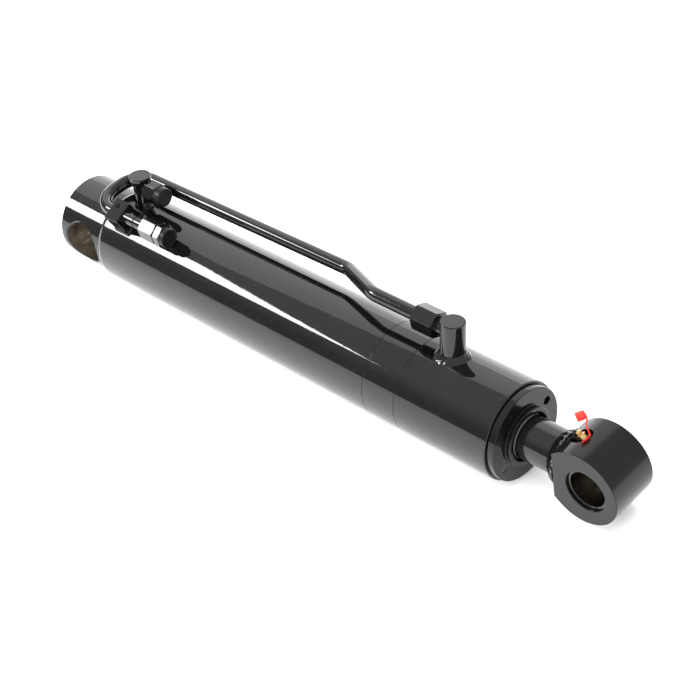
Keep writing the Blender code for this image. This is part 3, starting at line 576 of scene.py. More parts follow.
def make_base():
    step_x = BARREL_START_X - GAP
    profile = [(SPIGOT_END_X, 0), (SPIGOT_END_X, BORE_R - GAP, 0.0012), (step_x, BORE_R - GAP),
               (step_x, BASE_R), (BASE_END_X, BASE_R, 0.0016), (BASE_END_X, 0)]
    block = turned("base_block_turned", profile, [PAINT, BORE_STEEL])
    reach = BASE_R + 0.01
    carve(block, cylinder((0, -reach, 0), (0, reach, 0), BASE_BORE_R, 144, BORE_STEEL))
    for side in (-1, 1):
        carve(block, bore_rim(BASE_R, BASE_BORE_R, BASE_BORE_RIM, side))
    settle(block, BARREL, PAINT_SLOT, "base_block")

    inner = BASE_R + GAP
    end = BARREL_START_X - GAP
    weld = turned("base_weld_bead", [(end, BARREL_R - 0.0004), (end - 0.0014, BARREL_R - 0.0007),
                                     (end - 0.0034, BARREL_R - 0.0018), (end - 0.0050, inner + 0.0006),
                                     (end - 0.0056, inner), (end, inner)], WELD, ring=True, steps=240)
    for vert in weld.data.vertices:
        radius = math.hypot(vert.co.y, vert.co.z)
        if radius > inner + 0.0002:
            angle = math.atan2(vert.co.y, vert.co.z)
            swing = 0.00022 * math.sin(angle * 74 + (vert.co.x - end) * 900)
            vert.co.y *= 1 + (swing - 0.0002) / radius
            vert.co.z *= 1 + (swing - 0.0002) / radius
    settle(weld, BARREL, PAINT_SLOT, "base_weld")


def make_barrel():
    def tube(name, start, end, node, first=0.0006, last=0.0006):
        profile = [(end, BARREL_R, last), (start, BARREL_R, first), (start, BORE_R, 0.0004),
                   (end, BORE_R, 0.0004)]
        piece = turned(name, profile, [PAINT, TURNED_STEEL], ring=True,
                       zone=lambda x, r: 1 if r < BORE_R + 0.0002 else 0)
        settle(piece, BARREL, PAINT_SLOT, node)

    tube("barrel_tube_long", BARREL_START_X, RING_START_X - GAP / 2, "barrel_tube", 0.0009, 0.0004)
    tube("joint_ring_band", RING_START_X + GAP / 2, RING_END_X - GAP / 2, "joint_ring", 0.0004, 0.0004)
    tube("head_sleeve_tube", RING_END_X + GAP / 2, HEAD_END_X, "head_sleeve", 0.0004, 0.0010)


# ---- gland -----------------------------------------------------------------------------------
def make_gland():
    spigot_r = BORE_R - GAP
    outside = [(COLLAR_END_X, COLLAR_R, 0.0012), (GLAND_FACE_X, COLLAR_R, 0.0006),
               (GLAND_FACE_X, GLAND_FLANGE_R, 0.0008), (HEAD_END_X + GAP, GLAND_FLANGE_R, 0.0004),
               (HEAD_END_X + GAP, spigot_r), (0.5420, spigot_r, 0.0003), (0.5420, 0.0412),
               (0.5368, 0.0412), (0.5368, spigot_r, 0.0003), (0.5200, spigot_r, 0.0008),
               (0.5200, 0.0385), (GLAND_START_X, 0.0385, 0.0008)]
    inside = [(GLAND_START_X, GLAND_BORE_R, 0.0005)]
    for start, end, depth in ((0.5050, 0.5250, 0.0247), (0.5450, 0.5530, 0.0277)):
        inside += [(start, GLAND_BORE_R), (start, depth), (end, depth), (end, GLAND_BORE_R)]
    inside += [(WIPER[0], GLAND_BORE_R), (WIPER[0], WIPER[2]), (WIPER[1], WIPER[2]),
               (WIPER[1], COLLAR_RECESS_R), (COLLAR_END_X, COLLAR_RECESS_R, 0.0009)]
    gland = turned("gland_turned", outside + inside, END_PAINT, ring=True)
    for i in range(2):
        spot = clocked(SPANNER_CLOCK + 180 * i) * SPANNER_CIRCLE_R
        low = Vector((HEAD_END_X - 0.003, 0, 0)) + spot
        high = Vector((GLAND_FACE_X + 0.003, 0, 0)) + spot
        carve(gland, cylinder(low, high, SPANNER_HOLE_R, 48))
        rim = turned("cutter", [(0.0012, 0), (0.0012, SPANNER_HOLE_R + 0.0018), (-0.0006, SPANNER_HOLE_R),
                                (-0.0006, 0)], PAINT, Vector((GLAND_FACE_X, 0, 0)) + spot, (1, 0, 0),
                     steps=48)
        carve(gland, rim)
    settle(gland, BARREL, PAINT_SLOT, "gland")

    start, end, depth = WIPER
    lip_x = WIPER[1] + 0.0030
    wiper = [(lip_x, GLAND_BORE_R + 0.0006, 0.0002), (end, COLLAR_RECESS_R - 0.0016, 0.0003),
             (end - GAP, depth - GAP, 0.0003), (start + GAP, depth - GAP, 0.0003),
             (start + GAP, GLAND_BORE_R), (lip_x, GLAND_BORE_R)]
    settle(turned("wiper_seal_lip", wiper, RUBBER, ring=True), BARREL, "seal_rubber", "wiper_seal")


# ---- posts and their welds -------------------------------------------------------------------
def weld_skirt(name, x, clock, post_r, spread, rise, node, beads, seed):
    """A ring of weld round a post, drawn over the barrel's surface in overlapping beads."""
    up = clocked(clock)
    across = Vector((0.0, up.z, -up.y))
    along = Vector((1.0, 0.0, 0.0))
    shape = bmesh.new()
    rows = []
    count, bands = 180, 12
    for i in range(count):
        turn = math.tau * i / count
        wave = math.sin(turn * 3 + seed) * 0.10 + math.sin(turn * 5 + seed * 2) * 0.06
        row = []
        for k in range(bands + 1):
            t = k / bands
            radius = post_r + GAP + (spread * (1 + wave) - 0.0004) * t
            height = rise * (1 + wave * 0.5) * (1 - t) ** 1.7
            fade = math.sin(math.pi * min(t * 1.15 + 0.05, 1.0))
            height += 0.00022 * fade * math.sin(turn * beads + t * 5.0)
            radius += 0.00022 * fade * math.sin(turn * beads + t * 5.0 + 1.0)
            lateral = radius * math.sin(turn)
            floor = math.sqrt(BARREL_R ** 2 - lateral ** 2)
            row.append(shape.verts.new(along * (x + radius * math.cos(turn)) + across * lateral
                                       + up * (floor + height - 0.00012 * t)))
        outer = post_r + GAP + spread * (1 + wave) + 0.0001
        for radius, depth in ((outer, 0.0012), (post_r + GAP, 0.0012)):
            lateral = radius * math.sin(turn)
            floor = math.sqrt(BARREL_R ** 2 - lateral ** 2)
            row.append(shape.verts.new(along * (x + radius * math.cos(turn)) + across * lateral
                                       + up * (floor - depth)))
        rows.append(row)
    width = len(rows[0])
    for i in range(count):
        one, two = rows[i], rows[(i + 1) % count]
        for k in range(width):
            m = (k + 1) % width
            shape.faces.new((one[k], one[m], two[m], two[k]))
    bmesh.ops.recalc_face_normals(shape, faces=shape.faces)
    mesh = bpy.data.meshes.new(name)
    shape.to_mesh(mesh)
    shape.free()
    shade(mesh, 50)
    settle(linked(name, mesh, WELD), BARREL, PAINT_SLOT, node)


def make_rod_port():
    up = clocked(ROD_PORT_CLOCK)
    at = Vector((ROD_PORT_X, 0, 0))
    post = turned("rod_port_post_turned", [(ROD_PORT_TOP, 0), (ROD_PORT_TOP, POST_R, 0.0011),
                                           (0.0495, POST_R), (0.0495, 0)], PAINT, at, up, steps=96)
    port = at + up * ROD_PORT_AXIS
    carve(post, cylinder(port - Vector((POST_R - 0.0040, 0, 0)), port - Vector((0.02, 0, 0)),
                         NIPPLE_THREAD_R + GAP, FINE))
    settle(post, BARREL, PAINT_SLOT, "rod_port_post")
    weld_skirt("rod_port_weld_bead", ROD_PORT_X, ROD_PORT_CLOCK, POST_R, 0.0062, 0.0058,
               "rod_port_weld", 20, 0.6)
    axis_at = up * ROD_PORT_AXIS
    nut = hexagon("rod_union_nut_hex", axis_at, (1, 0, 0), NUT_START_X, NUT_END_X, UNION_NUT_AF, 5.0,
                  bore=NIPPLE_R + GAP)
    near, far = NUT_START_X + 0.0002, NUT_START_X + NUT_TAIL_LENGTH
    tail = [(far, NUT_TAIL_R), (near, NUT_TAIL_R, 0.0004), (near, TUBE_R + GAP, 0.0002),
            (far, TUBE_R + GAP)]
    sleeve = turned("nut_tail", tail, FITTING_PAINT, axis_at, (1, 0, 0), ring=True, steps=FINE)
    merge(nut, sleeve)
    settle(nut, BARREL, PAINT_SLOT, "rod_union_nut")


def make_transfer_tube():
    block = place(BLOCK_CLOCK, 0, 0, BLOCK_AXIS)
    bend_x = 0.0255
    clock = ROD_PORT_CLOCK
    end_x = BLOCK_START_X - GAP
    corners = [place(clock, NIPPLE_START_X - GAP, 0, ROD_PORT_AXIS),
               place(clock, 0.4050, 0, ROD_PORT_AXIS), place(clock, 0.3430, 0.0305, TUBE_H),
               place(clock, bend_x, 0.0240, TUBE_H),
               block + Vector((bend_x, 0, 0)), block + Vector((end_x, 0, 0))]
    tube = swept("transfer_tube_bent", rounded_path(corners, 0.0262), TUBE_R, PAINT, 48)
    settle(tube, BARREL, PAINT_SLOT, "transfer_tube")


def make_base_port():
    up = clocked(BASE_PORT_CLOCK)
    at = Vector((BASE_PORT_X, 0, 0))
    top = BASE_PORT_TOP
    profile = [(top, 0.0), (top, BASE_HEAD_R, 0.0009), (top - 0.0040, BASE_HEAD_R, 0.0012),
               (top - 0.0085, BASE_NECK_R + 0.0010, 0.0020), (top - 0.0120, BASE_NECK_R, 0.0030),
               (0.0495, BASE_NECK_R), (0.0495, 0.0)]
    post = turned("base_port_post_turned", profile, PAINT, at, up, steps=96)
    port = at + up * BASE_PORT_AXIS
    carve(post, cylinder(port + Vector((BASE_NECK_R - 0.0040, 0, 0)), port + Vector((0.02, 0, 0)),
                         0.0068, FINE))
    settle(post, BARREL, PAINT_SLOT, "base_port_post")
    weld_skirt("base_port_weld_bead", BASE_PORT_X, BASE_PORT_CLOCK, BASE_NECK_R, 0.0018, 0.0070,
               "base_port_weld", 16, 2.1)
    axis_at = up * BASE_PORT_AXIS
    start, end = BASE_ADAPTER
    adapter = hexagon("base_port_adapter_hex", axis_at, (1, 0, 0), start, end, BASE_ADAPTER_AF, 25.0,
                      bore=0.0062)
    settle(adapter, BARREL, PAINT_SLOT, "base_port_adapter")
    start = end + GAP
    end = BASE_CAP_END_X
    profile = [(end - 0.0004, 0.0), (end - 0.0004, 0.0074, 0.0003), (end, 0.0078, 0.0003),
               (end, BASE_CAP_R, 0.0012), (start, BASE_CAP_R, 0.0008), (start, 0.0058),
               (start - 0.01, 0.0058), (start - 0.01, 0.0)]
    cap = turned("base_port_cap_round", profile, PLUG, axis_at, (1, 0, 0), steps=96)
    settle(cap, BARREL, "plug_plastic", "base_port_cap")


def oriented_box(half_x, half_y, low, high, bevel, segments, only_top=False):
    """A box square to the port block's seat, between two heights."""
    shape = bmesh.new()
    bmesh.ops.create_cube(shape, size=1.0)
    bmesh.ops.scale(shape, vec=(2 * half_x, 2 * half_y, high - low), verts=shape.verts)
    edges = [e for e in shape.edges if not only_top or all(v.co.z > 0 for v in e.verts)]
    if bevel:
        bmesh.ops.bevel(shape, geom=edges, offset=bevel, segments=segments, affect="EDGES")
    up = clocked(BLOCK_CLOCK)
    turn = Matrix((Vector((1, 0, 0)), Vector((0.0, up.z, -up.y)), up)).transposed().to_4x4()
    centre = place(BLOCK_CLOCK, (BLOCK_START_X + BLOCK_END_X) / 2, 0, (low + high) / 2)
    shape.transform(Matrix.Translation(centre) @ turn)
    bmesh.ops.recalc_face_normals(shape, faces=shape.faces)
    mesh = bpy.data.meshes.new("cutter")
    shape.to_mesh(mesh)
    shape.free()
    shade(mesh)
    return linked("cutter", mesh, PAINT)


def make_port_block():
    half_x = (BLOCK_END_X - BLOCK_START_X) / 2
    block = oriented_box(half_x, BLOCK_HALF, 0.0440, BLOCK_TOP, 0.0009, 3)
    block.name = "port_block_milled"
    axis_at = place(BLOCK_CLOCK, 0, 0, BLOCK_AXIS)
    carve(block, cylinder(axis_at + Vector((BLOCK_END_X - 0.008, 0, 0)), axis_at + Vector((0.2, 0, 0)),
                          0.0075, FINE))
    low, high = (place(BLOCK_CLOCK, BLOCK_SCREW_X, BLOCK_SCREW_OFFSET, h)
                 for h in (BLOCK_TOP - 0.0040, BLOCK_TOP + 0.003))
    carve(block, cylinder(low, high, 0.0031, 48))
    settle(block, BARREL, PAINT_SLOT, "port_block")

    at = place(BLOCK_CLOCK, BLOCK_SCREW_X, BLOCK_SCREW_OFFSET, BLOCK_TOP)
    head = [(-0.0006, 0.0), (-0.0006, 0.0028, 0.0004), (-0.0037, 0.0028), (-0.0037, 0.0)]
    screw = turned("block_plug_screw_head", head, FITTING_PAINT, at, clocked(BLOCK_CLOCK), steps=48)
    key = hexagon("cutter", at, clocked(BLOCK_CLOCK), -0.0022, 0.002, 0.0030, 0.0, round_r=0.0001)
    carve(screw, key)
    settle(screw, BARREL, PAINT_SLOT, "block_plug_screw")

    make_block_weld(half_x + GAP, BLOCK_HALF + GAP)

    (hex_start, hex_end), (nut_start, nut_end) = BLOCK_ADAPTER, BLOCK_CAP_NUT
    stem = turned("block_nipple_stem", [(hex_start - GAP, 0.0072), (0.0960, 0.0072, 0.0004),
                                        (0.0960, 0.0064, 0.0004), (0.0930, 0.0064, 0.0004),
                                        (0.0930, 0.0072, 0.0004), (BLOCK_END_X - 0.0070, 0.0072),
                                        (BLOCK_END_X - 0.0070, PORT_R), (hex_start - GAP, PORT_R)],
                  FITTING_PAINT, axis_at, (1, 0, 0), ring=True, steps=FINE)
    settle(stem, BARREL, PAINT_SLOT, "block_nipple")
    adapter = hexagon("block_adapter_hex", axis_at, (1, 0, 0), hex_start, hex_end, HEX_AF, HEX_TURN,
                      bore=0.0064)
    settle(adapter, BARREL, PAINT_SLOT, "block_adapter")
    nut = hexagon("block_cap_nut_hex", axis_at, (1, 0, 0), nut_start, nut_end, HEX_AF, HEX_TURN)
    stem_r, stem_start = 0.0085, nut_start + 0.0010
    carve(nut, cylinder(axis_at + Vector((stem_start, 0, 0)), axis_at + Vector((0.3, 0, 0)),
                        stem_r + GAP, FINE, FITTING_PAINT))
    settle(nut, BARREL, PAINT_SLOT, "block_cap_nut")
    start, end = nut_end + GAP, BLOCK_PLUG_END_X
    plug = turned("block_port_plug_round", [(end - 0.0004, 0.0), (end - 0.0004, 0.0076, 0.0003),
                                            (end, 0.0080, 0.0003), (end, BLOCK_PLUG_R, 0.0012),
                                            (start, BLOCK_PLUG_R, 0.0005), (start, stem_r),
                                            (stem_start + GAP, stem_r), (stem_start + GAP, 0.0)],
                  PLUG, axis_at, (1, 0, 0), steps=96)
    settle(plug, BARREL, "plug_plastic", "block_port_plug")


def make_block_weld(inner_x, inner_y):
    """A bead of weld round the port block's foot, drawn over the barrel."""
    up = clocked(BLOCK_CLOCK)
    across = Vector((0.0, up.z, -up.y))
    middle = (BLOCK_START_X + BLOCK_END_X) / 2
    outline = []
    corner = 0.0008
    for cx, cy, start in ((1, 1, 0), (-1, 1, 90), (-1, -1, 180), (1, -1, 270)):
        for k in range(7):
            a = math.radians(start + 15 * k)
            outline.append((cx * (inner_x - corner) + corner * math.cos(a),
                            cy * (inner_y - corner) + corner * math.sin(a), math.cos(a), math.sin(a)))
    points = []
    for i, here in enumerate(outline):
        nxt = outline[(i + 1) % len(outline)]
        length = math.hypot(nxt[0] - here[0], nxt[1] - here[1])
        parts = max(1, round(length / 0.0004))
        for k in range(parts):
            t = k / parts
            points.append([a + (b - a) * t for a, b in zip(here, nxt)])
    shape = bmesh.new()
    rows = []
    walked = 0.0
    last = points[0]
    for x, y, nx, ny in points:
        walked += math.hypot(x - last[0], y - last[1])
        last = (x, y)
        size = math.hypot(nx, ny)
        nx, ny = nx / size, ny / size
        pulse = 0.00020 * math.sin(walked * 2600)
        row = []
        for k in range(9):
            t = k / 8
            out = (0.0017 + pulse) * math.sin(t * math.pi / 2)
            lift = (0.0026 + pulse) * math.cos(t * math.pi / 2)
            lateral = y + ny * out
            floor = math.sqrt(BARREL_R ** 2 - lateral ** 2)
            row.append(shape.verts.new(Vector((middle + x + nx * out, 0, 0)) + across * lateral
                                       + up * (floor + lift)))
        for out in (0.0017, 0.0):
            lateral = y + ny * out
            floor = math.sqrt(BARREL_R ** 2 - lateral ** 2)
            row.append(shape.verts.new(Vector((middle + x + nx * out, 0, 0)) + across * lateral
                                       + up * (floor - 0.0010)))
        rows.append(row)
    count, width = len(rows), len(rows[0])
    for i in range(count):
        one, two = rows[i], rows[(i + 1) % count]
        for k in range(width):
            m = (k + 1) % width
            shape.faces.new((one[k], one[m], two[m], two[k]))
    bmesh.ops.recalc_face_normals(shape, faces=shape.faces)
    mesh = bpy.data.meshes.new("block_weld_bead")
    shape.to_mesh(mesh)
    shape.free()
    shade(mesh, 50)
    settle(linked("block_weld_bead", mesh, WELD), BARREL, PAINT_SLOT, "block_weld")


# ---- rod and eye -----------------------------------------------------------------------------
def make_rod():
    profile = [(ROD_END_X, 0.0), (ROD_END_X, ROD_R), (0.1303, ROD_R, 0.0012), (0.1303, 0.0160),
               (0.0520, 0.0160, 0.0010), (0.0520, 0.0)]
    settle(turned("rod_ground", profile, CHROME), ROD, "chrome_rod", "rod")

    inner, end = ROD_R + GAP, ROD_END_X
    length, rise = EYE_WELD_LENGTH, EYE_WELD_RISE
    weld = turned("eye_weld_bead", [(end, inner + rise), (end - length * 0.18, inner + rise * 0.98),
                                    (end - length * 0.38, inner + rise * 0.80),
                                    (end - length * 0.58, inner + rise * 0.52),
                                    (end - length * 0.78, inner + rise * 0.24),
                                    (end - length * 0.94, inner + 0.0005), (end - length, inner),
                                    (end, inner)], WELD, ring=True, steps=220)
    for vert in weld.data.vertices:
        radius = math.hypot(vert.co.y, vert.co.z)
        share = (radius - inner) / rise
        if share > 0.03:
            angle = math.atan2(vert.co.y, vert.co.z)
            swing = (0.00050 * math.sin(angle * 26 + (vert.co.x - end) * 260)
                     + 0.0004 * math.sin(angle * 3 + 1.0)) * min(share * 3, 1.0)
            swing -= 0.0006 * share
            vert.co.y *= 1 + swing / radius
            vert.co.z *= 1 + swing / radius
    settle(weld, ROD, PAINT_SLOT, "eye_weld")


def eye_outline(steps=120):
    """The eye's side outline: an arc, two short straight sides and the flat for the rod."""
    corner = Vector((EYE_FLAT, EYE_FLAT_HALF))
    centre = Vector((EYE_ARC_OFFSET, 0.0))
    to_corner = corner - centre
    lean = math.acos(min(1.0, EYE_R / to_corner.length))
    start = math.atan2(to_corner.y, to_corner.x) - lean
    arc = []
    for i in range(steps + 1):
        turn = start - 2 * start * i / steps
        arc.append((centre.x + EYE_R * math.cos(turn), centre.y + EYE_R * math.sin(turn)))
    soft = 0.0008
    reach = EYE_FLAT_HALF - soft
    flat = [(EYE_FLAT, -reach + 2 * reach * i / 40) for i in range(1, 40)]
    return ([(EYE_FLAT, EYE_FLAT_HALF - soft), (EYE_FLAT + soft * 0.3, EYE_FLAT_HALF - soft * 0.3),
             (EYE_FLAT + soft, EYE_FLAT_HALF)] + arc
            + [(EYE_FLAT + soft, -EYE_FLAT_HALF), (EYE_FLAT + soft * 0.3, -EYE_FLAT_HALF + soft * 0.3),
               (EYE_FLAT, -EYE_FLAT_HALF + soft)] + flat)


def make_eye():
    """The eye, lofted from rings: both rims rounded, with the bore through it."""
    edge = 0.0009
    half = EYE_WIDTH / 2
    outline = [Vector(p) for p in eye_outline()]
    count = len(outline)
    normals = []
    for i in range(count):
        run = outline[(i + 1) % count] - outline[i - 1]
        normals.append(Vector((run.y, -run.x)).normalized())
    if normals[count // 2].x < 0:
        normals = [-n for n in normals]
    bore = [Vector((math.cos(math.atan2(p.y, p.x)), math.sin(math.atan2(p.y, p.x)))) for p in outline]
    shape = bmesh.new()

    def ring(points, y):
        return [shape.verts.new((PIN_TO_PIN + p.x, y, p.y)) for p in points]

    def inset(amount):
        return [p - n * amount for p, n in zip(outline, normals)]

    rows = []
    angles = [math.radians(90 * k / 4) for k in range(5)]
    for a in angles:
        rows.append(ring(inset(edge * (1 - math.sin(a))), -half + edge * (1 - math.cos(a))))
    for a in angles[::-1]:
        rows.append(ring(inset(edge * (1 - math.sin(a))), half - edge * (1 - math.cos(a))))
    for a in angles:
        rows.append(ring([b * (EYE_BORE_R + edge * (1 - math.sin(a))) for b in bore],
                         half - edge * (1 - math.cos(a))))
    for a in angles[::-1]:
        rows.append(ring([b * (EYE_BORE_R + edge * (1 - math.sin(a))) for b in bore],
                         -half + edge * (1 - math.cos(a))))
    for one, two in zip(rows, rows[1:] + rows[:1]):
        for i in range(count):
            j = (i + 1) % count
            shape.faces.new((one[i], one[j], two[j], two[i]))
    bmesh.ops.recalc_face_normals(shape, faces=shape.faces)
    mesh = bpy.data.meshes.new("rod_eye_forged")
    shape.to_mesh(mesh)
    shape.free()
    shade(mesh, 30)
    eye = linked("rod_eye_forged", mesh, EYE_PAINT)
    carve(eye, turned("cutter", [(0.03, 0), (0.03, POCKET_R + 0.0006), (0.0, POCKET_R, 0.0014), (0.0, 0)],
                      EYE_PAINT, NIPPLE_SEAT, NIPPLE_AXIS, steps=72))
    settle(eye, ROD, PAINT_SLOT, "rod_eye")

    half = EYE_WIDTH / 2 - BUSH_RECESS
    profile = [(half, EYE_BORE_R - GAP, 0.0003), (-half, EYE_BORE_R - GAP, 0.0003),
               (-half, BUSH_BORE_R, 0.0010), (half, BUSH_BORE_R, 0.0010)]
    bush = turned("eye_bush_bored", profile, [BUSH_STEEL, PAINT], (PIN_TO_PIN, 0, 0), (0, 1, 0), ring=True,
                  zone=lambda y, r: 1 if abs(y) > half - 0.0014 else 0)
    settle(bush, ROD, "bush_steel", "eye_bush")


# ---- grease nipple and cap -------------------------------------------------------------------
def make_nipple():
    body = hexagon("grease_nipple_turned", NIPPLE_SEAT, NIPPLE_AXIS, 0.0013, 0.0066, 0.0088, 10.0, BRASS,
                   round_r=0.0002)
    stem = turned("stem", [(0.0023, 0.0), (0.0023, 0.0023), (-0.0060, 0.0023), (-0.0060, 0.0)], BRASS,
                  NIPPLE_SEAT, NIPPLE_AXIS, steps=32)
    head = turned("head", [(0.0102, 0.0), (0.0102, 0.0006, 0.0001), (0.0108, 0.0008, 0.0002),
                           (0.0108, 0.0014, 0.0003), (0.0101, 0.0025, 0.0006), (0.0091, 0.0031, 0.0005),
                           (0.0081, 0.0030, 0.0004), (0.0075, 0.0024, 0.0004), (0.0062, 0.0024),
                           (0.0062, 0.0)], BRASS,
                  NIPPLE_SEAT, NIPPLE_AXIS, steps=40)
    merge(body, stem)
    merge(body, head)
    settle(body, ROD, "brass", "grease_nipple")


def make_cap():
    """The open cap, its ring under the nipple and the strap between them."""
    ring = turned("cap_ring_moulded", [(0.0010, 0.0056, 0.0003), (0.0001, 0.0056, 0.0003),
                                       (0.0001, 0.0026, 0.0003), (0.0010, 0.0026, 0.0003)], RED,
                  NIPPLE_SEAT, NIPPLE_AXIS, ring=True, steps=FINE)
    settle(ring, ROD, "red_plastic", "cap_ring")
    half = CAP_LENGTH / 2
    profile = [(-half, 0.0), (-half, CAP_OUTER_R * 0.88, 0.0006), (-half + 0.0012, CAP_OUTER_R * 0.94),
               (half - 0.0014, CAP_OUTER_R * 0.97, 0.0003), (half - 0.0010, CAP_OUTER_R, 0.0002),
               (half, CAP_OUTER_R, 0.0003), (half, CAP_HOLE_R, 0.0003),
               (-half + 0.0018, CAP_HOLE_R * 0.9, 0.0004), (-half + 0.0018, 0.0)]
    cap = turned("grease_cap_moulded", profile, RED, CAP_CENTRE, CAP_MOUTH, steps=FINE)
    settle(cap, CAP, "red_plastic", "grease_cap")

    out = CAP_PIVOT - NIPPLE_SEAT
    out = (out - NIPPLE_AXIS * out.dot(NIPPLE_AXIS)).normalized()
    closed_end = CAP_CENTRE - CAP_MOUTH * (half + 0.0002)
    towards = closed_end - CAP_PIVOT
    side = (towards - CAP_MOUTH * towards.dot(CAP_MOUTH)).normalized()
    controls = [NIPPLE_SEAT + NIPPLE_AXIS * 0.00055 + out * 0.0050,
                NIPPLE_SEAT + NIPPLE_AXIS * 0.0012 + out * 0.0068,
                NIPPLE_SEAT + NIPPLE_AXIS * 0.0042 + out * 0.0078,
                CAP_PIVOT, closed_end - side * CAP_OUTER_R * 1.05, closed_end + side * 0.0006]
    line = []
    for i in range(len(controls) - 1):
        p0, p1 = controls[max(i - 1, 0)], controls[i]
        p2, p3 = controls[i + 1], controls[min(i + 2, len(controls) - 1)]
        for k in range(8):
            t = k / 8
            line.append(0.5 * (2 * p1 + (p2 - p0) * t + (2 * p0 - 5 * p1 + 4 * p2 - p3) * t * t
                               + (3 * p1 - p0 - 3 * p2 + p3) * t ** 3))
    line.append(controls[-1])
    strap = swept("cap_strap_moulded", line, STRAP_R, RED, 12)
    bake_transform(strap)


make_base()
make_barrel()
make_gland()
make_rod_port()
make_transfer_tube()
make_base_port()
make_port_block()
make_rod()
make_eye()
make_nipple()
make_cap()


# ---- floor, light and camera -----------------------------------------------------------------
FLOOR_PAINTED_FALLOFF = ((0.20, 0.70), (0.52, 0.78), (0.86, 0.93))     # painted shade on the floor: its colour by Y + 1 m, darker towards the front, which also darkens the paint's reflections of it
ROOM = ((0.22, 0.36), (0.66, 0.95))     # the room's brightness from the horizon up
ROOM_END = 0.95                 # and beyond the rod eye
STRIP = [(-1.663, -1.159, 0.871), (-0.967, -1.583, 1.369),
         (-1.312, -0.886, 1.532), (-1.66, -0.681, 1.277)]


def make_floor():
    """Pale paper with painted shade: its colour greyer towards the front, standing in for light falling
    off there and darkening the paint's reflections of the floor.
    """
    n = Nodes("studio_floor")
    split = n.add("ShaderNodeSeparateXYZ", {"Vector": n.coords})
    paper = n.ramp(n.noise(6.0, 3.0, 0.5), (0.3, 0.99), (0.7, 1.0))
    # painted shade: the paper's colour darkened towards the front, by Y
    painted_falloff = n.ramp(n.math("ADD", split.outputs["Y"], 1.0), *FLOOR_PAINTED_FALLOFF)
    colour = n.add("ShaderNodeMix", {6: painted_falloff, 7: paper}, data_type="RGBA", blend_type="MULTIPLY")
    colour.inputs["Factor"].default_value = 1.0
    n.set(Base_Color=colour.outputs[2], Roughness=n.ramp(n.noise(300.0), (0.3, 0.85), (0.7, 0.95)),
          Normal=n.bump(n.noise(900.0), 0.03, 0.0005))
    n.shader.inputs["Specular IOR Level"].default_value = 0.10
    mesh = bpy.data.meshes.new("floor")
    size, low = 8.0, -BARREL_R - 0.0004
    mesh.from_pydata([(-size, -size, low), (size, -size, low), (size, size, low), (-size, size, low)],
                     [], [(0, 1, 2, 3)])
    linked("floor", mesh, n.mat)


def softbox(name, direction, distance, width, height, radiance, roll=0.0, mirrored=True):
    """A rectangular light of even brightness, facing the cylinder. One that isn't mirrored lights
    the scene as a bounce would, and shows in no reflection."""
    light = bpy.data.lights.new(name, "AREA")
    light.shape = "RECTANGLE"
    light.size, light.size_y = width, height
    light.energy = radiance * width * height * math.pi
    obj = bpy.data.objects.new(name, light)
    bpy.context.scene.collection.objects.link(obj)
    away = Vector(direction).normalized()
    obj.location = Vector((0.30, 0.0, 0.0)) + away * distance
    obj.rotation_mode = "QUATERNION"
    obj.rotation_quaternion = away.to_track_quat("Z", "Y") @ Quaternion((0, 0, 1), math.radians(roll))
    obj.visible_glossy = mirrored
    return obj


def lit_panel(name, corners, radiance):
    """A narrow glowing panel of any outline, kept out of the camera's sight."""
    mesh = bpy.data.meshes.new(name)
    mesh.from_pydata(corners, [], [tuple(range(len(corners)))])
    mat = bpy.data.materials.new(name)
    mat.use_nodes = True
    tree = mat.node_tree
    glow = tree.nodes.new("ShaderNodeEmission")
    glow.inputs["Strength"].default_value = radiance
    tree.links.new(glow.outputs[0], tree.nodes["Material Output"].inputs["Surface"])
    panel = linked(name, mesh, mat)
    panel.visible_camera = False
    panel.visible_shadow = False


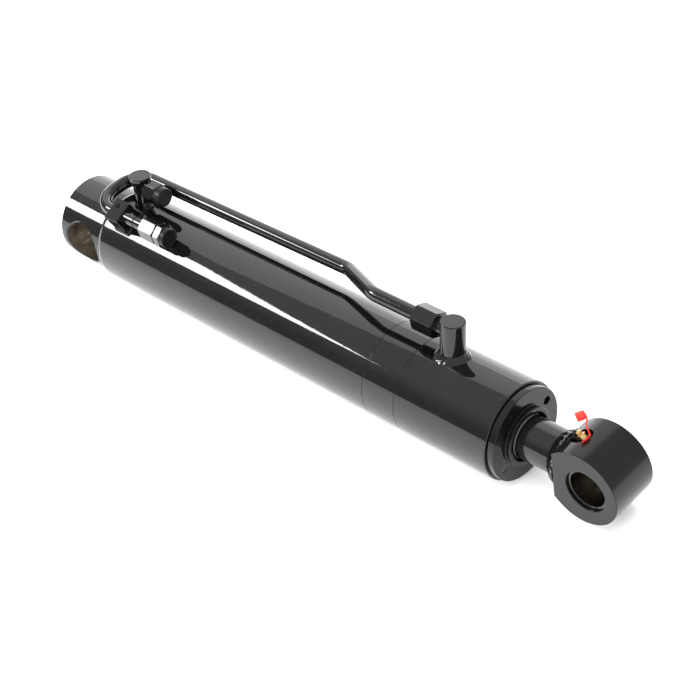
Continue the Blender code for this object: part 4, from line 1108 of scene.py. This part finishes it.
def make_world():
    """A pale room, darker towards the horizon in front."""
    world = bpy.data.worlds.new("studio")
    bpy.context.scene.world = world
    world.use_nodes = True
    tree = world.node_tree
    coords = tree.nodes.new("ShaderNodeTexCoord")
    split = tree.nodes.new("ShaderNodeSeparateXYZ")
    tree.links.new(coords.outputs["Generated"], split.inputs[0])
    height = tree.nodes.new("ShaderNodeValToRGB")
    tree.links.new(split.outputs["Z"], height.inputs["Fac"])
    for point, (where, grey) in zip(height.color_ramp.elements, ROOM):
        point.position = where
        point.color = (grey, grey, grey, 1.0)
    side = tree.nodes.new("ShaderNodeMapRange")
    tree.links.new(split.outputs["X"], side.inputs["Value"])
    side.inputs["From Min"].default_value, side.inputs["From Max"].default_value = -0.2, 0.4
    both = tree.nodes.new("ShaderNodeMix")
    both.data_type = "RGBA"
    tree.links.new(side.outputs["Result"], both.inputs["Factor"])
    tree.links.new(height.outputs["Color"], both.inputs[6])
    both.inputs[7].default_value = (ROOM_END, ROOM_END, ROOM_END, 1.0)
    back = tree.nodes["Background"]
    tree.links.new(both.outputs[2], back.inputs["Color"])
    back.inputs["Strength"].default_value = 1.0


def make_camera():
    data = bpy.data.cameras.new("camera")
    data.lens, data.sensor_width = 88.07, 36.0
    data.clip_start, data.clip_end = 0.05, 50.0
    camera = bpy.data.objects.new("camera", data)
    bpy.context.scene.collection.objects.link(camera)
    right = Vector((0.72483816, 0.67675351, -0.12889656))
    up = Vector((-0.37169199, 0.54169711, 0.75392925))
    back = Vector((0.58004716, -0.49856687, 0.64418659))
    turn = Matrix((right, up, back)).transposed().to_4x4()
    camera.matrix_world = Matrix.Translation((1.37238, -0.86285, 1.10727)) @ turn
    bpy.context.scene.camera = camera


bpy.context.scene.view_settings.view_transform = "Standard"
make_floor()
make_world()
lit_panel("strip_panel", STRIP, 26.0)
softbox("back_light", (-0.60, 0.78, 0.13), 2.4, 3.4, 1.3, 2.1)
softbox("ceiling_light", (-0.60, 0.52, 0.70), 2.5, 3.2, 1.75, 1.15)
softbox("overhead_fill", (0.0, -0.1, 1.0), 2.6, 3.0, 3.0, 3.2, mirrored=False)
softbox("front_fill", (0.1, -1.0, 0.45), 2.6, 3.0, 1.2, 9.0, mirrored=False)
make_camera()
